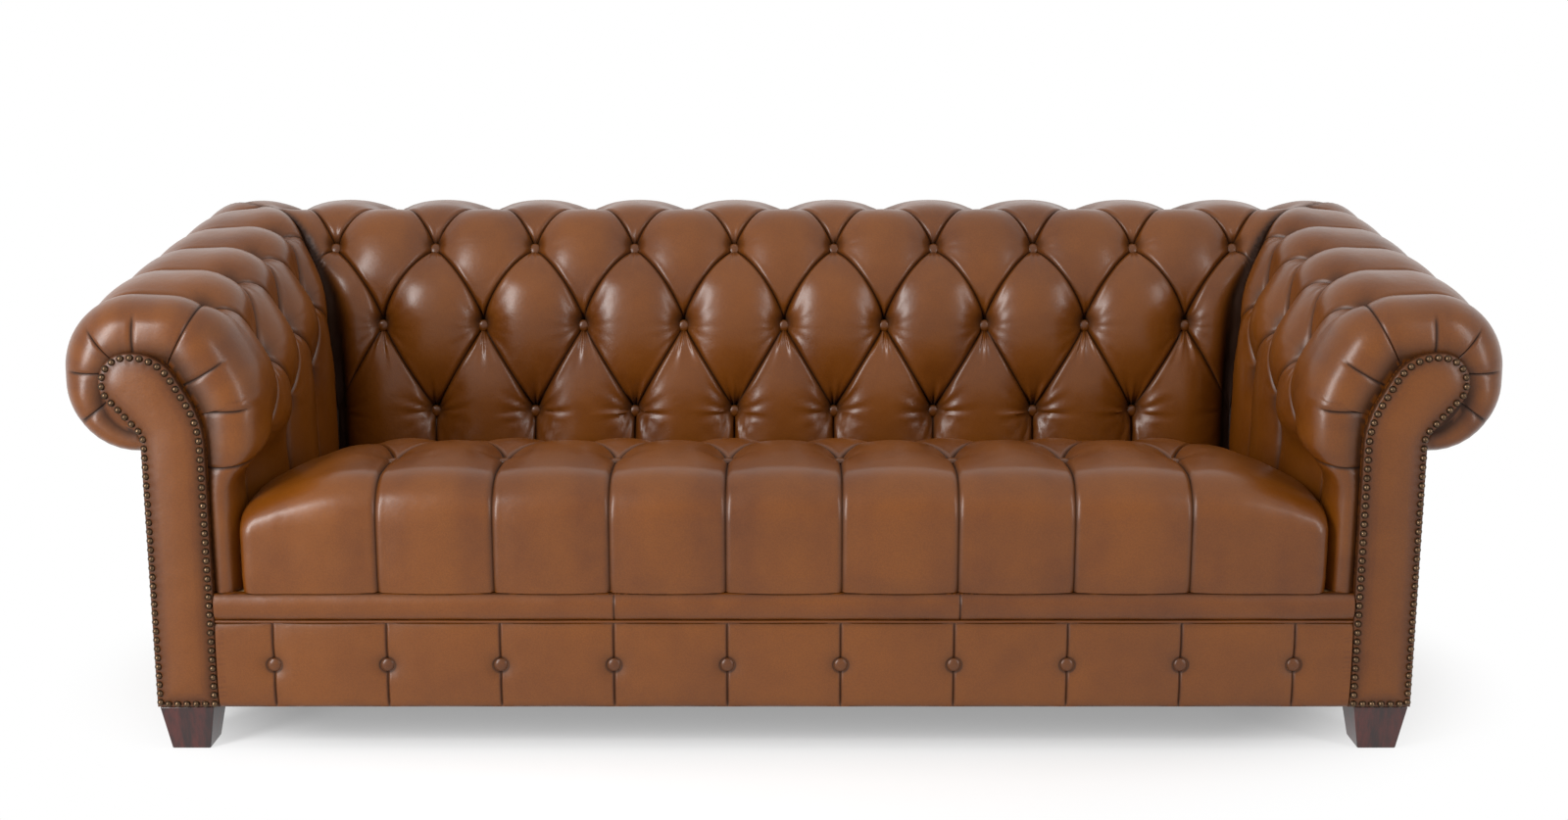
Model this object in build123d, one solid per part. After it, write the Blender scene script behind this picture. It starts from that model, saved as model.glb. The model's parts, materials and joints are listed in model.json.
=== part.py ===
from build123d import *
import math
import os

os.makedirs("parts", exist_ok=True)

# A three-seat rolled-arm sofa with deep-buttoned leather pads on a timber frame, in millimetres.
# X runs across the sofa, the front faces -Y, Z is up, and the origin is on the floor under its middle.
# Left is the -X side. A "run" is measured outwards from the inner face of an arm or of the back,
# and a "set" is measured backwards from the front plane of the arm facings.

# Overall sizes
overall_width = 2290
overall_depth = 880
back_height = 823
arm_height = 732
foot_height = 77
soft_gap = 0.4

# Outline of the padded roll, the same on the arms and the back
roll_width = 325
roll_drop = 250
neck_run = 193
shoulder_run = 88
shoulder_drop = 155
shoulder_radius = 112
outer_radius = 112
under_radius = 119
hip_radius = 45

# Hollow inside the padded roll, which holds the timber
wall_run = 107
lip_run = 182
lip_rise = 14
throat_rise = 59
hollow_run_in = 170
hollow_run_out = 230
hollow_rise = 114
hollow_drop = 100
wall_drop = 180

# Lower edge of the arm and back pads, where they meet the seat
arm_hip_run = 46
arm_hip_height = 437
arm_slope_share = 0.357
arm_bend_share = 2.11
back_hip_run = 40
back_hip_height = 378
back_slope_share = 0.162
back_bend_share = 0.78

# Buttoning
tuft_pitch = 185.6
back_rows = [192, 353, 520, 705]
back_tuft = 42
arm_pitch = 152
arm_first_tuft_set = 115
arm_rows = [212, 355, 500]
arm_tuft = 38
seat_first_row = 332
seat_row_share = 0.4825
seat_row_count = 3
seat_tuft = 32
pleat_share = 0.8
pleat_tail = 200
tail_share = 0.15
steps_per_pitch = 4
fan_steps = 4
hem_marks = [0, 0.25, 0.5, 0.75, 0.875]
row_marks = 4
tail_marks = 10

# Rounded front border of the arm pads, drawn in to the facing
border_inset = 82
border_neck_inset = 30
border_depth = 90
border_stations = [0.03, 0.1, 0.22, 0.4, 0.65]

# Seat pad, with its crown and its drawn-in ends
seat_front_set = 4
seat_front_height = 452
seat_crown_height = 476
seat_crown_set = 225
seat_tuck_height = 397
seat_tuck_reach = 50.6
seat_tuck_radius = 40
seat_rear_height = 354
seat_front_radius = 75
seat_crown_radius = 500
seat_wall = 40
seat_end_drop = 62
seat_end_reach = 225
seat_channel_share = 0.35

# Foam slab and felt deck under the seat pad
foam_height = 60
deck_thickness = 5

# Front apron, from the floor side up: panel, welt, band
cover_thickness = 2
panel_height = 142
panel_end_margin = 90.8
panel_button_count = 10
panel_set = 8
panel_crown = 4
panel_pleat_share = 0.25
welt_size = 4
band_height = 44
band_set = 6
band_crown = 4
apron_back_set = 22

# Arm facings and their nails
facing_thickness = 18
facing_inner_run = 92
facing_outer_run = 193
facing_top = 656
facing_head_run = 253
facing_shoulder_run = 155
facing_shoulder_height = 545
facing_head_height = 590
facing_neck_height = 522
facing_radii = [150, 75, 48, 40, 25]
facing_edge_ease = 4
nail_radius = 5.5
nail_height = 4
nail_crown_share = 0.5
nail_pitch = 15
nail_inset = 7

# Covered buttons
button_radius = 9.5
button_height = 8
panel_button_radius = 11.5
panel_button_height = 7
button_rim = 2
button_crown_share = 0.62
button_gap = 0.3
arm_button_gap = 0.65
arm_fan_button_gap = 3.6
back_fan_button_gap = 8.6
seat_end_button_gap = 0.9
head_sides = 6

# Timber frame
rail_thickness = 32
rail_height = 122
front_rail_thickness = 44
front_rail_gap = 3
post_depth = 63
top_rail_foot_drop = 191
top_rail_foot_run = 150
top_rail_ease = 1
tack_rail_thickness = 32
tack_rail_height = 42
lower_rail_height = 278
arm_mid_rail_drop = 234
back_mid_rail_drop = 275
stretcher_offset = 310
stretcher_height = 85
upright_width = 44
back_upright_offset = 465
block_leg = 100
block_height = 70
strap_width = 50
strap_thickness = 2.6
arm_strap_count = 4
back_strap_count = 9

# Seat suspension
spring_count = 10
spring_end_margin = 100.6
spring_wire = 4
spring_bar = 36
spring_turn_radius = 14
spring_turn_chords = 2
spring_rail_depth = 44
clip_width = 22
clip_plate = 1.4
clip_length = 10

# Outside panels, feet and their bolts
foot_top = 87
foot_bottom = 62
bolt_radius = 4
bolt_clearance = 0.2
bolt_in_foot = 35
bolt_in_post = 45

# Places worked out from the sizes above
front_y = nail_height - overall_depth / 2
arm_inner = overall_width / 2 - roll_width
back_inner = overall_depth - nail_height - roll_width
arm_wall_top = arm_height - shoulder_drop
arm_belly_height = arm_hip_height + arm_slope_share * (arm_wall_top - arm_hip_height)
back_wall_top = back_height - shoulder_drop
back_belly_height = back_hip_height + back_slope_share * (back_wall_top - back_hip_height)
arm_mid_rail_height = arm_height - arm_mid_rail_drop
back_mid_rail_height = back_height - back_mid_rail_drop
apron_bottom = foot_height - cover_thickness
panel_top = apron_bottom + panel_height
band_bottom = panel_top + welt_size
band_top = band_bottom + band_height
pad_bottom = band_top + soft_gap
spring_rail_top = band_top - front_rail_gap
frame_in_run = wall_run + soft_gap + strap_thickness
frame_out_run = lip_run - soft_gap
front_post_set = facing_thickness + post_depth
rear_post_set = back_inner + frame_in_run
rear_frame_set = back_inner + frame_out_run
seat_half = arm_inner + arm_hip_run - soft_gap
seat_rear_set = back_inner + back_hip_run - soft_gap
seat_tuck_set = seat_rear_set - seat_tuck_reach
seat_row_pitch = seat_row_share * (seat_tuck_set - seat_crown_set)
seat_rows = [seat_first_row + index * seat_row_pitch for index in range(seat_row_count)]
apron_half = arm_inner + facing_inner_run - soft_gap
half_pitch = tuft_pitch / 2
panel_pitch = 2 * (apron_half - panel_end_margin) / (panel_button_count - 1)
spring_spacing = 2 * (seat_half - spring_end_margin) / (spring_count - 1)


def write(name, solids):
    shape = Compound(solids) if isinstance(solids, list) else solids
    export_step(shape, f"parts/{name}.step")


def write_pair(name, solids):
    # A left piece, or a list of them, and its mirror image on the right.
    group = solids if isinstance(solids, list) else [solids]
    write("left_" + name, group)
    write("right_" + name, [mirror(solid, about=Plane.YZ) for solid in group])


def block(x0, x1, set0, set1, z0, z1):
    # A squared piece of timber or sheet between its limits.
    size = Vector(x1 - x0, set1 - set0, z1 - z0)
    corner = Location((x0, front_y + set0, z0))
    return corner * Box(size.X, size.Y, size.Z, align=(Align.MIN, Align.MIN, Align.MIN)).solid()


def both_sides(x0, x1, set0, set1, z0, z1):
    return [block(x0, x1, set0, set1, z0, z1), block(-x1, -x0, set0, set1, z0, z1)]


def clamp(value, low, high):
    return max(low, min(high, value))


# Places on the back and on the left arm

def on_back(x, run, z):
    return (x, front_y + back_inner + run, z)


def arm_rise(set_back, run, z):
    # The arms climb from the facing to the mitre with the back, all but their lower edge.
    climb = (back_height - arm_height) * set_back / (back_inner + run)
    return climb * clamp((z - pad_bottom) / (arm_belly_height - pad_bottom), 0, 1)


def on_arm(set_back, run, z):
    return (-arm_inner - run, front_y + set_back, z + arm_rise(set_back, run, z))


def mitre_x(run):
    # Where the back ends against the left arm, at 45 degrees in plan.
    return -(arm_inner + run - soft_gap)


def mitre_set(run):
    # Where the left arm ends against the back.
    return back_inner + run - soft_gap


# Buttoned pads: closed sections of short flats, lofted along the pad

def roll_outline(hip_run, hip_height, belly_height, crest, bend_share):
    # The wall bends into the shoulder in the room that the belly leaves.
    bend_radius = bend_share * (crest - shoulder_drop - belly_height)
    corners = [
        (hip_run, pad_bottom),
        (hip_run, hip_height),
        (0, belly_height),
        (0, crest - shoulder_drop),
        (shoulder_run, crest),
        (roll_width, crest),
        (roll_width, crest - roll_drop),
        (neck_run, crest - roll_drop),
    ]
    radii = [hip_radius, hip_radius, bend_radius, shoulder_radius, outer_radius, under_radius]
    return FilletPolyline(*corners, radius=radii)


def hollow_corners(crest):
    # From the tacked edge under the roll, round the timber, to the bottom of the pad.
    under = crest - roll_drop
    return [
        (neck_run, under),
        (lip_run, under + lip_rise),
        (lip_run, under + throat_rise),
        (hollow_run_out, under + hollow_rise),
        (hollow_run_out, crest - hollow_drop),
        (hollow_run_in, crest - hollow_drop),
        (wall_run, crest - wall_drop),
        (wall_run, pad_bottom),
    ]


def puff(column, row):
    # Height of a buttoned surface from 0 at a button to 1 at the middle of a diamond.
    # Columns count half pitches and rows count rows; a button is where their sum is even.
    rising = abs(math.sin(math.pi * (column + row) / 2))
    falling = abs(math.sin(math.pi * (column - row) / 2))
    return (1 - pleat_share) * rising * falling + pleat_share * (rising + falling) / 2


def row_at(run, rows):
    # Rows are counted from the last one down; above and below them the pleats run straight.
    last = len(rows) - 1
    for index in range(last):
        if run <= rows[index + 1]:
            part = clamp((run - rows[index]) / (rows[index + 1] - rows[index]), 0, 1)
            return last - index - part
    return 0


def marks_along(rows, length):
    # Runs along an outline where the flats of a section join: quarters between the rows, and beyond them.
    marks = [rows[0] * share for share in hem_marks]
    for low, high in zip(rows, rows[1:]):
        marks += [low + (high - low) * step / row_marks for step in range(row_marks)]
    rest = length - rows[-1]
    marks += [rows[-1] + rest * step / tail_marks for step in range(tail_marks)]
    return marks + [length]


class Pad:
    # One outline with its rows of buttons; spots are cached points with their outward normals.
    def __init__(self, outline, rows, tuft):
        self.outline = outline
        self.rows = rows
        self.tuft = tuft
        self.marks = marks_along(rows, outline.length)
        self.cache = {}

    def spot(self, run):
        if run not in self.cache:
            at = self.outline.position_at(run, position_mode=PositionMode.LENGTH)
            along = self.outline.tangent_at(run, position_mode=PositionMode.LENGTH)
            self.cache[run] = ((at.X, at.Y), (-along.Y, along.X))
        return self.cache[run]

    def fade(self, run):
        if run < self.rows[0]:
            return clamp(2 * run / self.rows[0] - 1, 0, 1)
        return clamp(1 - (run - self.rows[-1]) / pleat_tail, tail_share, 1)

    def depth(self, run, column):
        return self.tuft * (1 - puff(column, row_at(run, self.rows))) * self.fade(run)

    def sunk(self, run, depth):
        at, out = self.spot(run)
        return at[0] - out[0] * depth, at[1] - out[1] * depth


def section(pad, place, surface, hollow):
    # A closed wire: the puffed outside, then the hollow.
    outside = [place(*surface(run)) for run in pad.marks]
    return Wire.make_polygon(outside + [place(*corner) for corner in hollow[1:]])


def faceted_head(levels):
    # A low head with flats round it, given by its radius at each height.
    wires = [(Plane.XY.offset(height) * RegularPolygon(radius, head_sides)).wire() for height, radius in levels]
    return Solid.make_loft(wires, ruled=True)


def button_head(radius, height):
    # A covered button: an upright rim and a drawn-in crown.
    return faceted_head([(0, radius), (button_rim, radius), (height, radius * button_crown_share)])


def tuft_lift(pad, spacing, run, column):
    # How far above the bottom of a tuft the corners of a button meet the flats round it.
    step = 2 / steps_per_pitch
    deep = pad.depth(run, column)
    low = Vector(*pad.sunk(run, deep))
    out = Vector(*pad.spot(run)[1])
    index = pad.marks.index(run)
    lifts = []
    for side in range(head_sides):
        angle = 2 * math.pi * side / head_sides
        mark = pad.marks[index + (1 if math.sin(angle) > 0 else -1)]
        beside = Vector(*pad.sunk(mark, pad.depth(mark, column))) - low
        beyond = Vector(*pad.sunk(mark, pad.depth(mark, column + step))) - low
        rise = beside.dot(out)
        across = abs(math.cos(angle)) * button_radius / (step * spacing)
        along = abs(math.sin(angle)) * button_radius / math.sqrt(beside.length ** 2 - rise ** 2)
        rise_across = deep - pad.depth(run, column + step)
        lifts.append(
            rise_across * across * (1 - along) + rise * along * (1 - across) + beyond.dot(out) * across * along)
    return max(lifts)


def button_in_tuft(place, pad, spacing, run, column, gap, x_dir):
    # A button sits in its tuft, square to the pad.
    lift = tuft_lift(pad, spacing, run, column) + gap
    low = Vector(*place(*pad.sunk(run, pad.depth(run, column) - lift)))
    high = Vector(*place(*pad.sunk(run, 0)))
    seat = Plane(origin=low, x_dir=x_dir, z_dir=high - low)
    return seat.location * button_head(button_radius, button_height)


# Back cushion

back_outline = roll_outline(back_hip_run, back_hip_height, back_belly_height, back_height, back_bend_share)
back_pad = Pad(back_outline, back_rows, back_tuft)
back_hollow = hollow_corners(back_height)


def back_section(x_of):
    # x_of gives a section's x at each run, so that the end sections fan round to the mitre.
    def place(run, z):
        return on_back(x_of(run), run, z)

    def surface(run):
        column = x_of(back_pad.spot(run)[0][0]) / half_pitch
        return back_pad.sunk(run, back_pad.depth(run, column))

    return section(back_pad, place, surface, back_hollow)


fan_x = -tuft_pitch * (arm_inner // tuft_pitch)


def back_cushion():
    level = round(-fan_x / tuft_pitch) * steps_per_pitch
    stations = [lambda run, x=step * tuft_pitch / steps_per_pitch: x for step in range(-level, level + 1)]
    for step in range(1, fan_steps + 1):
        share = step / fan_steps
        stations.insert(0, lambda run, s=share: fan_x + (mitre_x(run) - fan_x) * s)
        stations.append(lambda run, s=share: -fan_x - (mitre_x(run) - fan_x) * s)
    return Solid.make_loft([back_section(station) for station in stations], ruled=True)


def back_buttons():
    found = []
    for index, run in enumerate(back_rows[:3]):
        row = len(back_rows) - 1 - index
        spread = int(-mitre_x(back_pad.spot(run)[0][0]) // half_pitch)
        for column in range(-spread, spread + 1):
            if (column + row) % 2 == 0:
                x = column * half_pitch
                gap = back_fan_button_gap if x < fan_x or x > -fan_x else button_gap
                found.append(button_in_tuft(
                    lambda r, z, x=x: on_back(x, r, z), back_pad, half_pitch, run, column, gap, (1, 0, 0)))
    return found


write("back_cushion", back_cushion())
write("back_buttons", back_buttons())

# Arm cushions

arm_outline = roll_outline(arm_hip_run, arm_hip_height, arm_belly_height, arm_height, arm_bend_share)
arm_pad = Pad(arm_outline, arm_rows, arm_tuft)
arm_hollow = hollow_corners(arm_height)
arm_front_set = facing_thickness + soft_gap
half_arm_pitch = arm_pitch / 2


def drawn_in(set_back):
    # 1 at the facing, 0 where the rounded front border reaches the full roll.
    part = clamp((set_back - arm_front_set) / (border_depth - arm_front_set), 0, 1)
    return 1 - math.sqrt(1 - (1 - part) ** 2)


def border_edge(run):
    # The front edge of the pad beside the facing: upright along the wall, then inside the roll.
    at, out = arm_pad.spot(run)
    if at[1] < arm_height - shoulder_drop and at[0] < shoulder_run:
        return border_inset, at[1]
    past = (run - arm_rows[-1]) / (arm_pad.outline.length - arm_rows[-1])
    return arm_pad.sunk(run, border_inset + (border_neck_inset - border_inset) * clamp(2 * past - 1, 0, 1))


def arm_section(set_of):
    def place(run, z):
        return on_arm(set_of(run), run, z)

    def surface(run):
        at = set_of(arm_pad.spot(run)[0][0])
        column = (at - arm_first_tuft_set) / half_arm_pitch
        border = drawn_in(at)
        full = arm_pad.sunk(run, arm_pad.depth(run, column))
        return tuple(far + (near - far) * border for far, near in zip(full, border_edge(run)))

    return section(arm_pad, place, surface, arm_hollow)


arm_step = arm_pitch / steps_per_pitch
arm_step_count = int((back_inner - soft_gap - arm_first_tuft_set - arm_step) // arm_step)
fan_set = arm_first_tuft_set + arm_step_count * arm_step


def arm_cushion():
    border = border_depth - arm_front_set
    sets = [arm_front_set] + [arm_front_set + border * share for share in border_stations]
    sets += [arm_first_tuft_set + index * arm_step for index in range(-1, arm_step_count + 1)]
    stations = [lambda run, at=at: at for at in sorted(set(sets))]
    for index in range(1, fan_steps + 1):
        share = index / fan_steps
        stations.append(lambda run, s=share: fan_set + (mitre_set(run) - fan_set) * s)
    return Solid.make_loft([arm_section(station) for station in stations], ruled=True)


def arm_buttons():
    found = []
    for index, run in enumerate(arm_rows):
        row = len(arm_rows) - 1 - index
        reach = mitre_set(arm_pad.spot(run)[0][0]) - half_arm_pitch / 2
        for column in range(int((reach - arm_first_tuft_set) // half_arm_pitch) + 1):
            if (column + row) % 2 == 0:
                at = arm_first_tuft_set + column * half_arm_pitch
                gap = arm_fan_button_gap if at > fan_set else arm_button_gap
                found.append(button_in_tuft(
                    lambda r, z, at=at: on_arm(at, r, z), arm_pad, half_arm_pitch, run, column, gap, (0, 1, 0)))
    return found


write_pair("arm_cushion", arm_cushion())
write_pair("arm_buttons", arm_buttons())

# Seat cushion, foam and deck

seat_outline = FilletPolyline(
    (seat_front_set, pad_bottom),
    (seat_front_set, seat_front_height),
    (seat_crown_set, seat_crown_height),
    (seat_tuck_set, seat_tuck_height),
    (seat_rear_set, seat_rear_height),
    radius=[seat_front_radius, seat_crown_radius, seat_tuck_radius])
seat_pad = Pad(seat_outline, seat_rows, seat_tuft)
foam_bottom = spring_rail_top + 2 * clip_plate + spring_wire + 2 * soft_gap + deck_thickness + soft_gap
foam_top = foam_bottom + foam_height


def on_seat(x, set_back, z):
    # The crown falls away towards the arms.
    end = clamp((abs(x) - seat_half + seat_end_reach) / seat_end_reach, 0, 1)
    high = clamp((z - foam_top) / (seat_crown_height - foam_top), 0, 1)
    return (x, front_y + set_back, z - seat_end_drop * end ** 2 * high)


def seat_fade(run):
    # Tufts on top turn into shallow channels down the front.
    return clamp(run / seat_rows[0], seat_channel_share, 1)


def seat_section(x):
    def surface(run):
        shallow = seat_tuft * (1 - puff(x / half_pitch - 1, row_at(run, seat_rows)))
        return seat_pad.sunk(run, shallow * seat_fade(run))

    wall = seat_front_set + seat_wall
    hollow = [(0, 0), (seat_rear_set, foam_top + soft_gap), (wall, foam_top + soft_gap), (wall, pad_bottom)]
    return section(seat_pad, lambda s, z: on_seat(x, s, z), surface, hollow)


def seat_cushion():
    step = tuft_pitch / steps_per_pitch
    count = int((seat_half - step / 2) // step)
    places = [-seat_half] + [index * step for index in range(-count, count + 1)] + [seat_half]
    return Solid.make_loft([seat_section(x) for x in places], ruled=True)


def seat_buttons():
    found = []
    for index, run in enumerate(seat_rows[:2]):
        row = len(seat_rows) - 1 - index
        spread = int((seat_half - half_pitch / 2) // half_pitch)
        for column in range(-spread, spread + 1):
            if (column - 1 + row) % 2 == 0:
                x = column * half_pitch
                gap = seat_end_button_gap if abs(x) > seat_half - seat_end_reach else button_gap
                found.append(button_in_tuft(
                    lambda s, z, x=x: on_seat(x, s, z), seat_pad, half_pitch, run, column - 1, gap, (1, 0, 0)))
    return found


write("seat_cushion", seat_cushion())
write("seat_buttons", seat_buttons())
foam_front = seat_front_set + seat_wall + soft_gap
write("seat_foam", block(-seat_half, seat_half, foam_front, seat_rear_set, foam_bottom, foam_top))
deck_top = foam_bottom - soft_gap
write("seat_deck", block(-seat_half, seat_half, foam_front, seat_rear_set, deck_top - deck_thickness, deck_top))

# Front apron


def panel_section(x, front_set):
    # The panel's face is a shallow arch between its sewn top and bottom edges.
    edge_set = panel_set + panel_crown / 2
    low = (x, front_y + edge_set, apron_bottom)
    high = (x, front_y + edge_set, panel_top)
    face = (x, front_y + front_set, (apron_bottom + panel_top) / 2)
    low_back = (x, front_y + apron_back_set, apron_bottom)
    high_back = (x, front_y + apron_back_set, panel_top)
    lines = [(high, high_back), (high_back, low_back), (low_back, low)]
    return Wire([Edge.make_three_point_arc(low, face, high)] + [Edge.make_line(*line) for line in lines])


def front_panel():
    # The face swells between the pleats that the buttons draw in.
    sections = [panel_section(-apron_half, panel_set)]
    first = -(panel_button_count - 1) * panel_pitch / 2
    for index in range(2 * panel_button_count - 1):
        swell = panel_crown if index % 2 else panel_crown * panel_pleat_share
        sections.append(panel_section(first + index * panel_pitch / 2, panel_set - swell))
    sections.append(panel_section(apron_half, panel_set))
    return Solid.make_loft(sections, ruled=True)


def front_panel_buttons():
    found = []
    pleat_crown = panel_crown * panel_pleat_share
    slope = (panel_crown - pleat_crown) / (panel_pitch / 2)
    face_set = panel_set - pleat_crown - slope * panel_button_radius - soft_gap
    for index in range(panel_button_count):
        x = (index - (panel_button_count - 1) / 2) * panel_pitch
        spot = Plane(origin=(x, front_y + face_set, (apron_bottom + panel_top) / 2), z_dir=(0, -1, 0))
        found.append(spot.location * button_head(panel_button_radius, panel_button_height))
    return found


def front_band():
    profile = make_face([
        ThreePointArc(
            (band_set, band_bottom), (band_set - band_crown, (band_bottom + band_top) / 2), (band_set, band_top)),
        Polyline(
            (band_set, band_top), (apron_back_set, band_top), (apron_back_set, band_bottom), (band_set, band_bottom)),
    ])
    start = Plane(origin=(-apron_half, front_y, 0), x_dir=(0, 1, 0), z_dir=(1, 0, 0))
    return extrude(start * profile, 2 * apron_half).solid()


def front_welt():
    # A piped seam lies in the joint between the band and the panel.
    centre = Plane(
        origin=(-apron_half, front_y + band_set + welt_size / 2, panel_top + welt_size / 2), z_dir=(1, 0, 0))
    return extrude(centre * Circle(welt_size / 2), 2 * apron_half).solid()


write("front_panel", front_panel())
write("front_panel_buttons", front_panel_buttons())
write("front_band", front_band())
write("front_welt", front_welt())

# Arm facings and nails


def facing_corners(inset):
    # The scroll, from the foot of its inner edge round the head to the foot of its outer edge.
    return [
        (facing_inner_run + inset, apron_bottom + inset),
        (facing_inner_run + inset, facing_shoulder_height),
        (facing_shoulder_run + inset / 2, facing_top - inset),
        (facing_head_run - inset, facing_top - inset),
        (facing_head_run - inset, facing_head_height + inset / 2),
        (facing_outer_run - inset, facing_neck_height + inset / 2),
        (facing_outer_run - inset, apron_bottom + inset),
    ]


def facing_outline(inset):
    turns = [-1, -1, -1, -1, 1]
    radii = [radius + turn * inset for radius, turn in zip(facing_radii, turns)]
    return FilletPolyline(*facing_corners(inset), radius=radii)


facing_plane = Plane(origin=(-arm_inner, front_y + facing_thickness, 0), x_dir=(-1, 0, 0), z_dir=(0, 1, 0))


def arm_facing():
    outline = facing_outline(0)
    face = make_face([outline, Line(outline @ 1, outline @ 0)])
    solid = extrude(facing_plane * face, -facing_thickness)
    front_edges = solid.edges().group_by(Axis.Y)[0]
    return chamfer(front_edges, facing_edge_ease).solid()


def facing_nails():
    line = facing_outline(nail_inset)
    foot = Line(line @ 1, line @ 0)
    spots = []
    for path in (line, foot):
        count = round(path.length / nail_pitch)
        spots += [path.position_at(index / count) for index in range(count)]
    head = faceted_head([(0, nail_radius), (nail_height, nail_radius * nail_crown_share)])
    found = []
    for spot in spots:
        seat = Plane(origin=(-arm_inner - spot.X, front_y, spot.Y), z_dir=(0, -1, 0))
        found.append(seat.location * head)
    return found


write_pair("arm_facing", arm_facing())
write_pair("facing_nails", facing_nails())

# Timber frame of the base


def bolt_hole(x, set_back, z0, z1):
    tall = Location((x, front_y + set_back, (z0 + z1) / 2))
    return tall * Cylinder(bolt_radius + bolt_clearance, z1 - z0)


post_in = arm_inner + frame_in_run
post_out = arm_inner + frame_out_run
foot_x = (post_in + post_out) / 2
front_foot_set = facing_thickness + post_depth / 2
rear_foot_set = (rear_post_set + rear_frame_set) / 2
bolt_low = foot_height - bolt_in_foot
bolt_high = foot_height + bolt_in_post
side_rail_in = post_out - rail_thickness
rail_top = foot_height + rail_height
front_rail_back = apron_back_set + front_rail_thickness
back_rail_set = rear_frame_set - rail_thickness
spring_rail_set = seat_rear_set - clip_length


def front_post():
    # A board with a scroll head that fills the hollow of the arm roll behind the facing.
    hollow = hollow_corners(arm_height)
    inner = frame_in_run - soft_gap
    low = foot_height - soft_gap
    corners = [(lip_run, low)] + hollow[2:6] + [(inner, arm_height - wall_drop), (inner, low)]
    shape = make_face(Polyline(*corners, close=True))
    inside = offset(shape, amount=-soft_gap, kind=Kind.INTERSECTION)
    points = [vertex.center() for vertex in inside.wire().order_edges().vertices()]
    ends = []
    for at in (facing_thickness, front_post_set):
        ends.append(Wire.make_polygon([on_arm(at, point.X, point.Y) for point in points]))
    post = Solid.make_loft(ends, ruled=True)
    return (post - bolt_hole(-foot_x, front_foot_set, foot_height, bolt_high)).solid()


def rear_post():
    top = back_height - top_rail_foot_drop
    post = block(-post_out, -post_in, rear_post_set, rear_frame_set, foot_height, top)
    return (post - bolt_hole(-foot_x, rear_foot_set, foot_height, bolt_high)).solid()


def corner_block(corner_set, face_set, turn):
    # A glued three-cornered block in the angle between a side rail and a front rail or post.
    corners = [
        (-side_rail_in, front_y + corner_set),
        (-side_rail_in, front_y + corner_set + turn * block_leg),
        (-post_in + block_leg / 2, front_y + face_set),
        (-post_in, front_y + face_set),
        (-post_in, front_y + corner_set),
    ]
    points = [point for index, point in enumerate(corners) if point != corners[index - 1]]
    return extrude(Plane.XY.offset(foot_height) * make_face(Polyline(*points, close=True)), block_height).solid()


write("front_rail", block(-post_in, post_in, apron_back_set, front_rail_back, foot_height, spring_rail_top))
write("back_rail", block(-post_in, post_in, back_rail_set, rear_frame_set, foot_height, rail_top))
write_pair("side_rail", block(-post_out, -side_rail_in, front_post_set, rear_post_set, foot_height, rail_top))
write("spring_rail", block(
    -post_out, post_out, spring_rail_set, spring_rail_set + spring_rail_depth, rail_top, spring_rail_top))
write("stretchers", both_sides(
    stretcher_offset, stretcher_offset + rail_thickness,
    front_rail_back, back_rail_set, foot_height, foot_height + stretcher_height))
write_pair("front_post", front_post())
write_pair("rear_post", rear_post())
left_blocks = [
    corner_block(front_post_set, front_rail_back, 1),
    corner_block(rear_post_set, rear_post_set, -1),
]
write("corner_blocks", left_blocks + [mirror(piece, about=Plane.YZ) for piece in left_blocks])

# Timber frame of the back and the arms

top_rail_corners = [
    (hollow_run_in + soft_gap, hollow_drop + soft_gap),
    (hollow_run_out - soft_gap, hollow_drop + soft_gap),
    (hollow_run_out - soft_gap, roll_drop - hollow_rise - top_rail_ease),
    (frame_out_run, top_rail_foot_drop),
    (top_rail_foot_run, top_rail_foot_drop),
]


def rail_end(place):
    return Wire.make_polygon([Vector(*place(run, drop)) for run, drop in top_rail_corners])


def back_top_rail():
    ends = []
    for side in (-1, 1):
        ends.append(rail_end(lambda run, drop: on_back(-side * (mitre_x(run) + soft_gap), run, back_height - drop)))
    return Solid.make_loft(ends, ruled=True)


def arm_top_rail():
    # The rail climbs with the arm and is mitred against the rail of the back.
    front = rail_end(lambda run, drop: on_arm(front_post_set, run, arm_height - drop))
    corner = rail_end(lambda run, drop: (
        -arm_inner - run, front_y + mitre_set(run) + soft_gap, back_height - drop))
    return Solid.make_loft([front, corner], ruled=True)


def top_rail_foot(set_back):
    # Underside of the climbing arm rail at a place along the arm.
    return on_arm(set_back, frame_out_run, arm_height - top_rail_foot_drop)[2]


def arm_upright():
    middle = (front_post_set + rear_post_set) / 2
    near = middle - upright_width / 2
    far = middle + upright_width / 2
    corners = [
        (front_y + near, rail_top),
        (front_y + far, rail_top),
        (front_y + far, top_rail_foot(far) - soft_gap),
        (front_y + near, top_rail_foot(near) - soft_gap),
    ]
    start = Plane(origin=(-post_out, 0, 0), x_dir=(0, 1, 0), z_dir=(1, 0, 0))
    depth = frame_out_run - frame_in_run - tack_rail_thickness
    return extrude(start * make_face(Polyline(*corners, close=True)), depth).solid()


def tack_rails(low):
    # An arm's tacking rail between its posts.
    return block(
        -post_in - tack_rail_thickness, -post_in, front_post_set, rear_post_set, low, low + tack_rail_height)


def back_tack_rail(low):
    return block(-post_in, post_in, rear_post_set, rear_post_set + tack_rail_thickness, low, low + tack_rail_height)


def arm_straps():
    low = lower_rail_height
    high = arm_mid_rail_height + tack_rail_height
    space = (rear_post_set - front_post_set) / arm_strap_count
    found = []
    for index in range(arm_strap_count):
        middle = front_post_set + space * (index + 0.5)
        found.append(block(
            -post_in, -post_in + strap_thickness,
            middle - strap_width / 2, middle + strap_width / 2, low, high))
    return found


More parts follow.
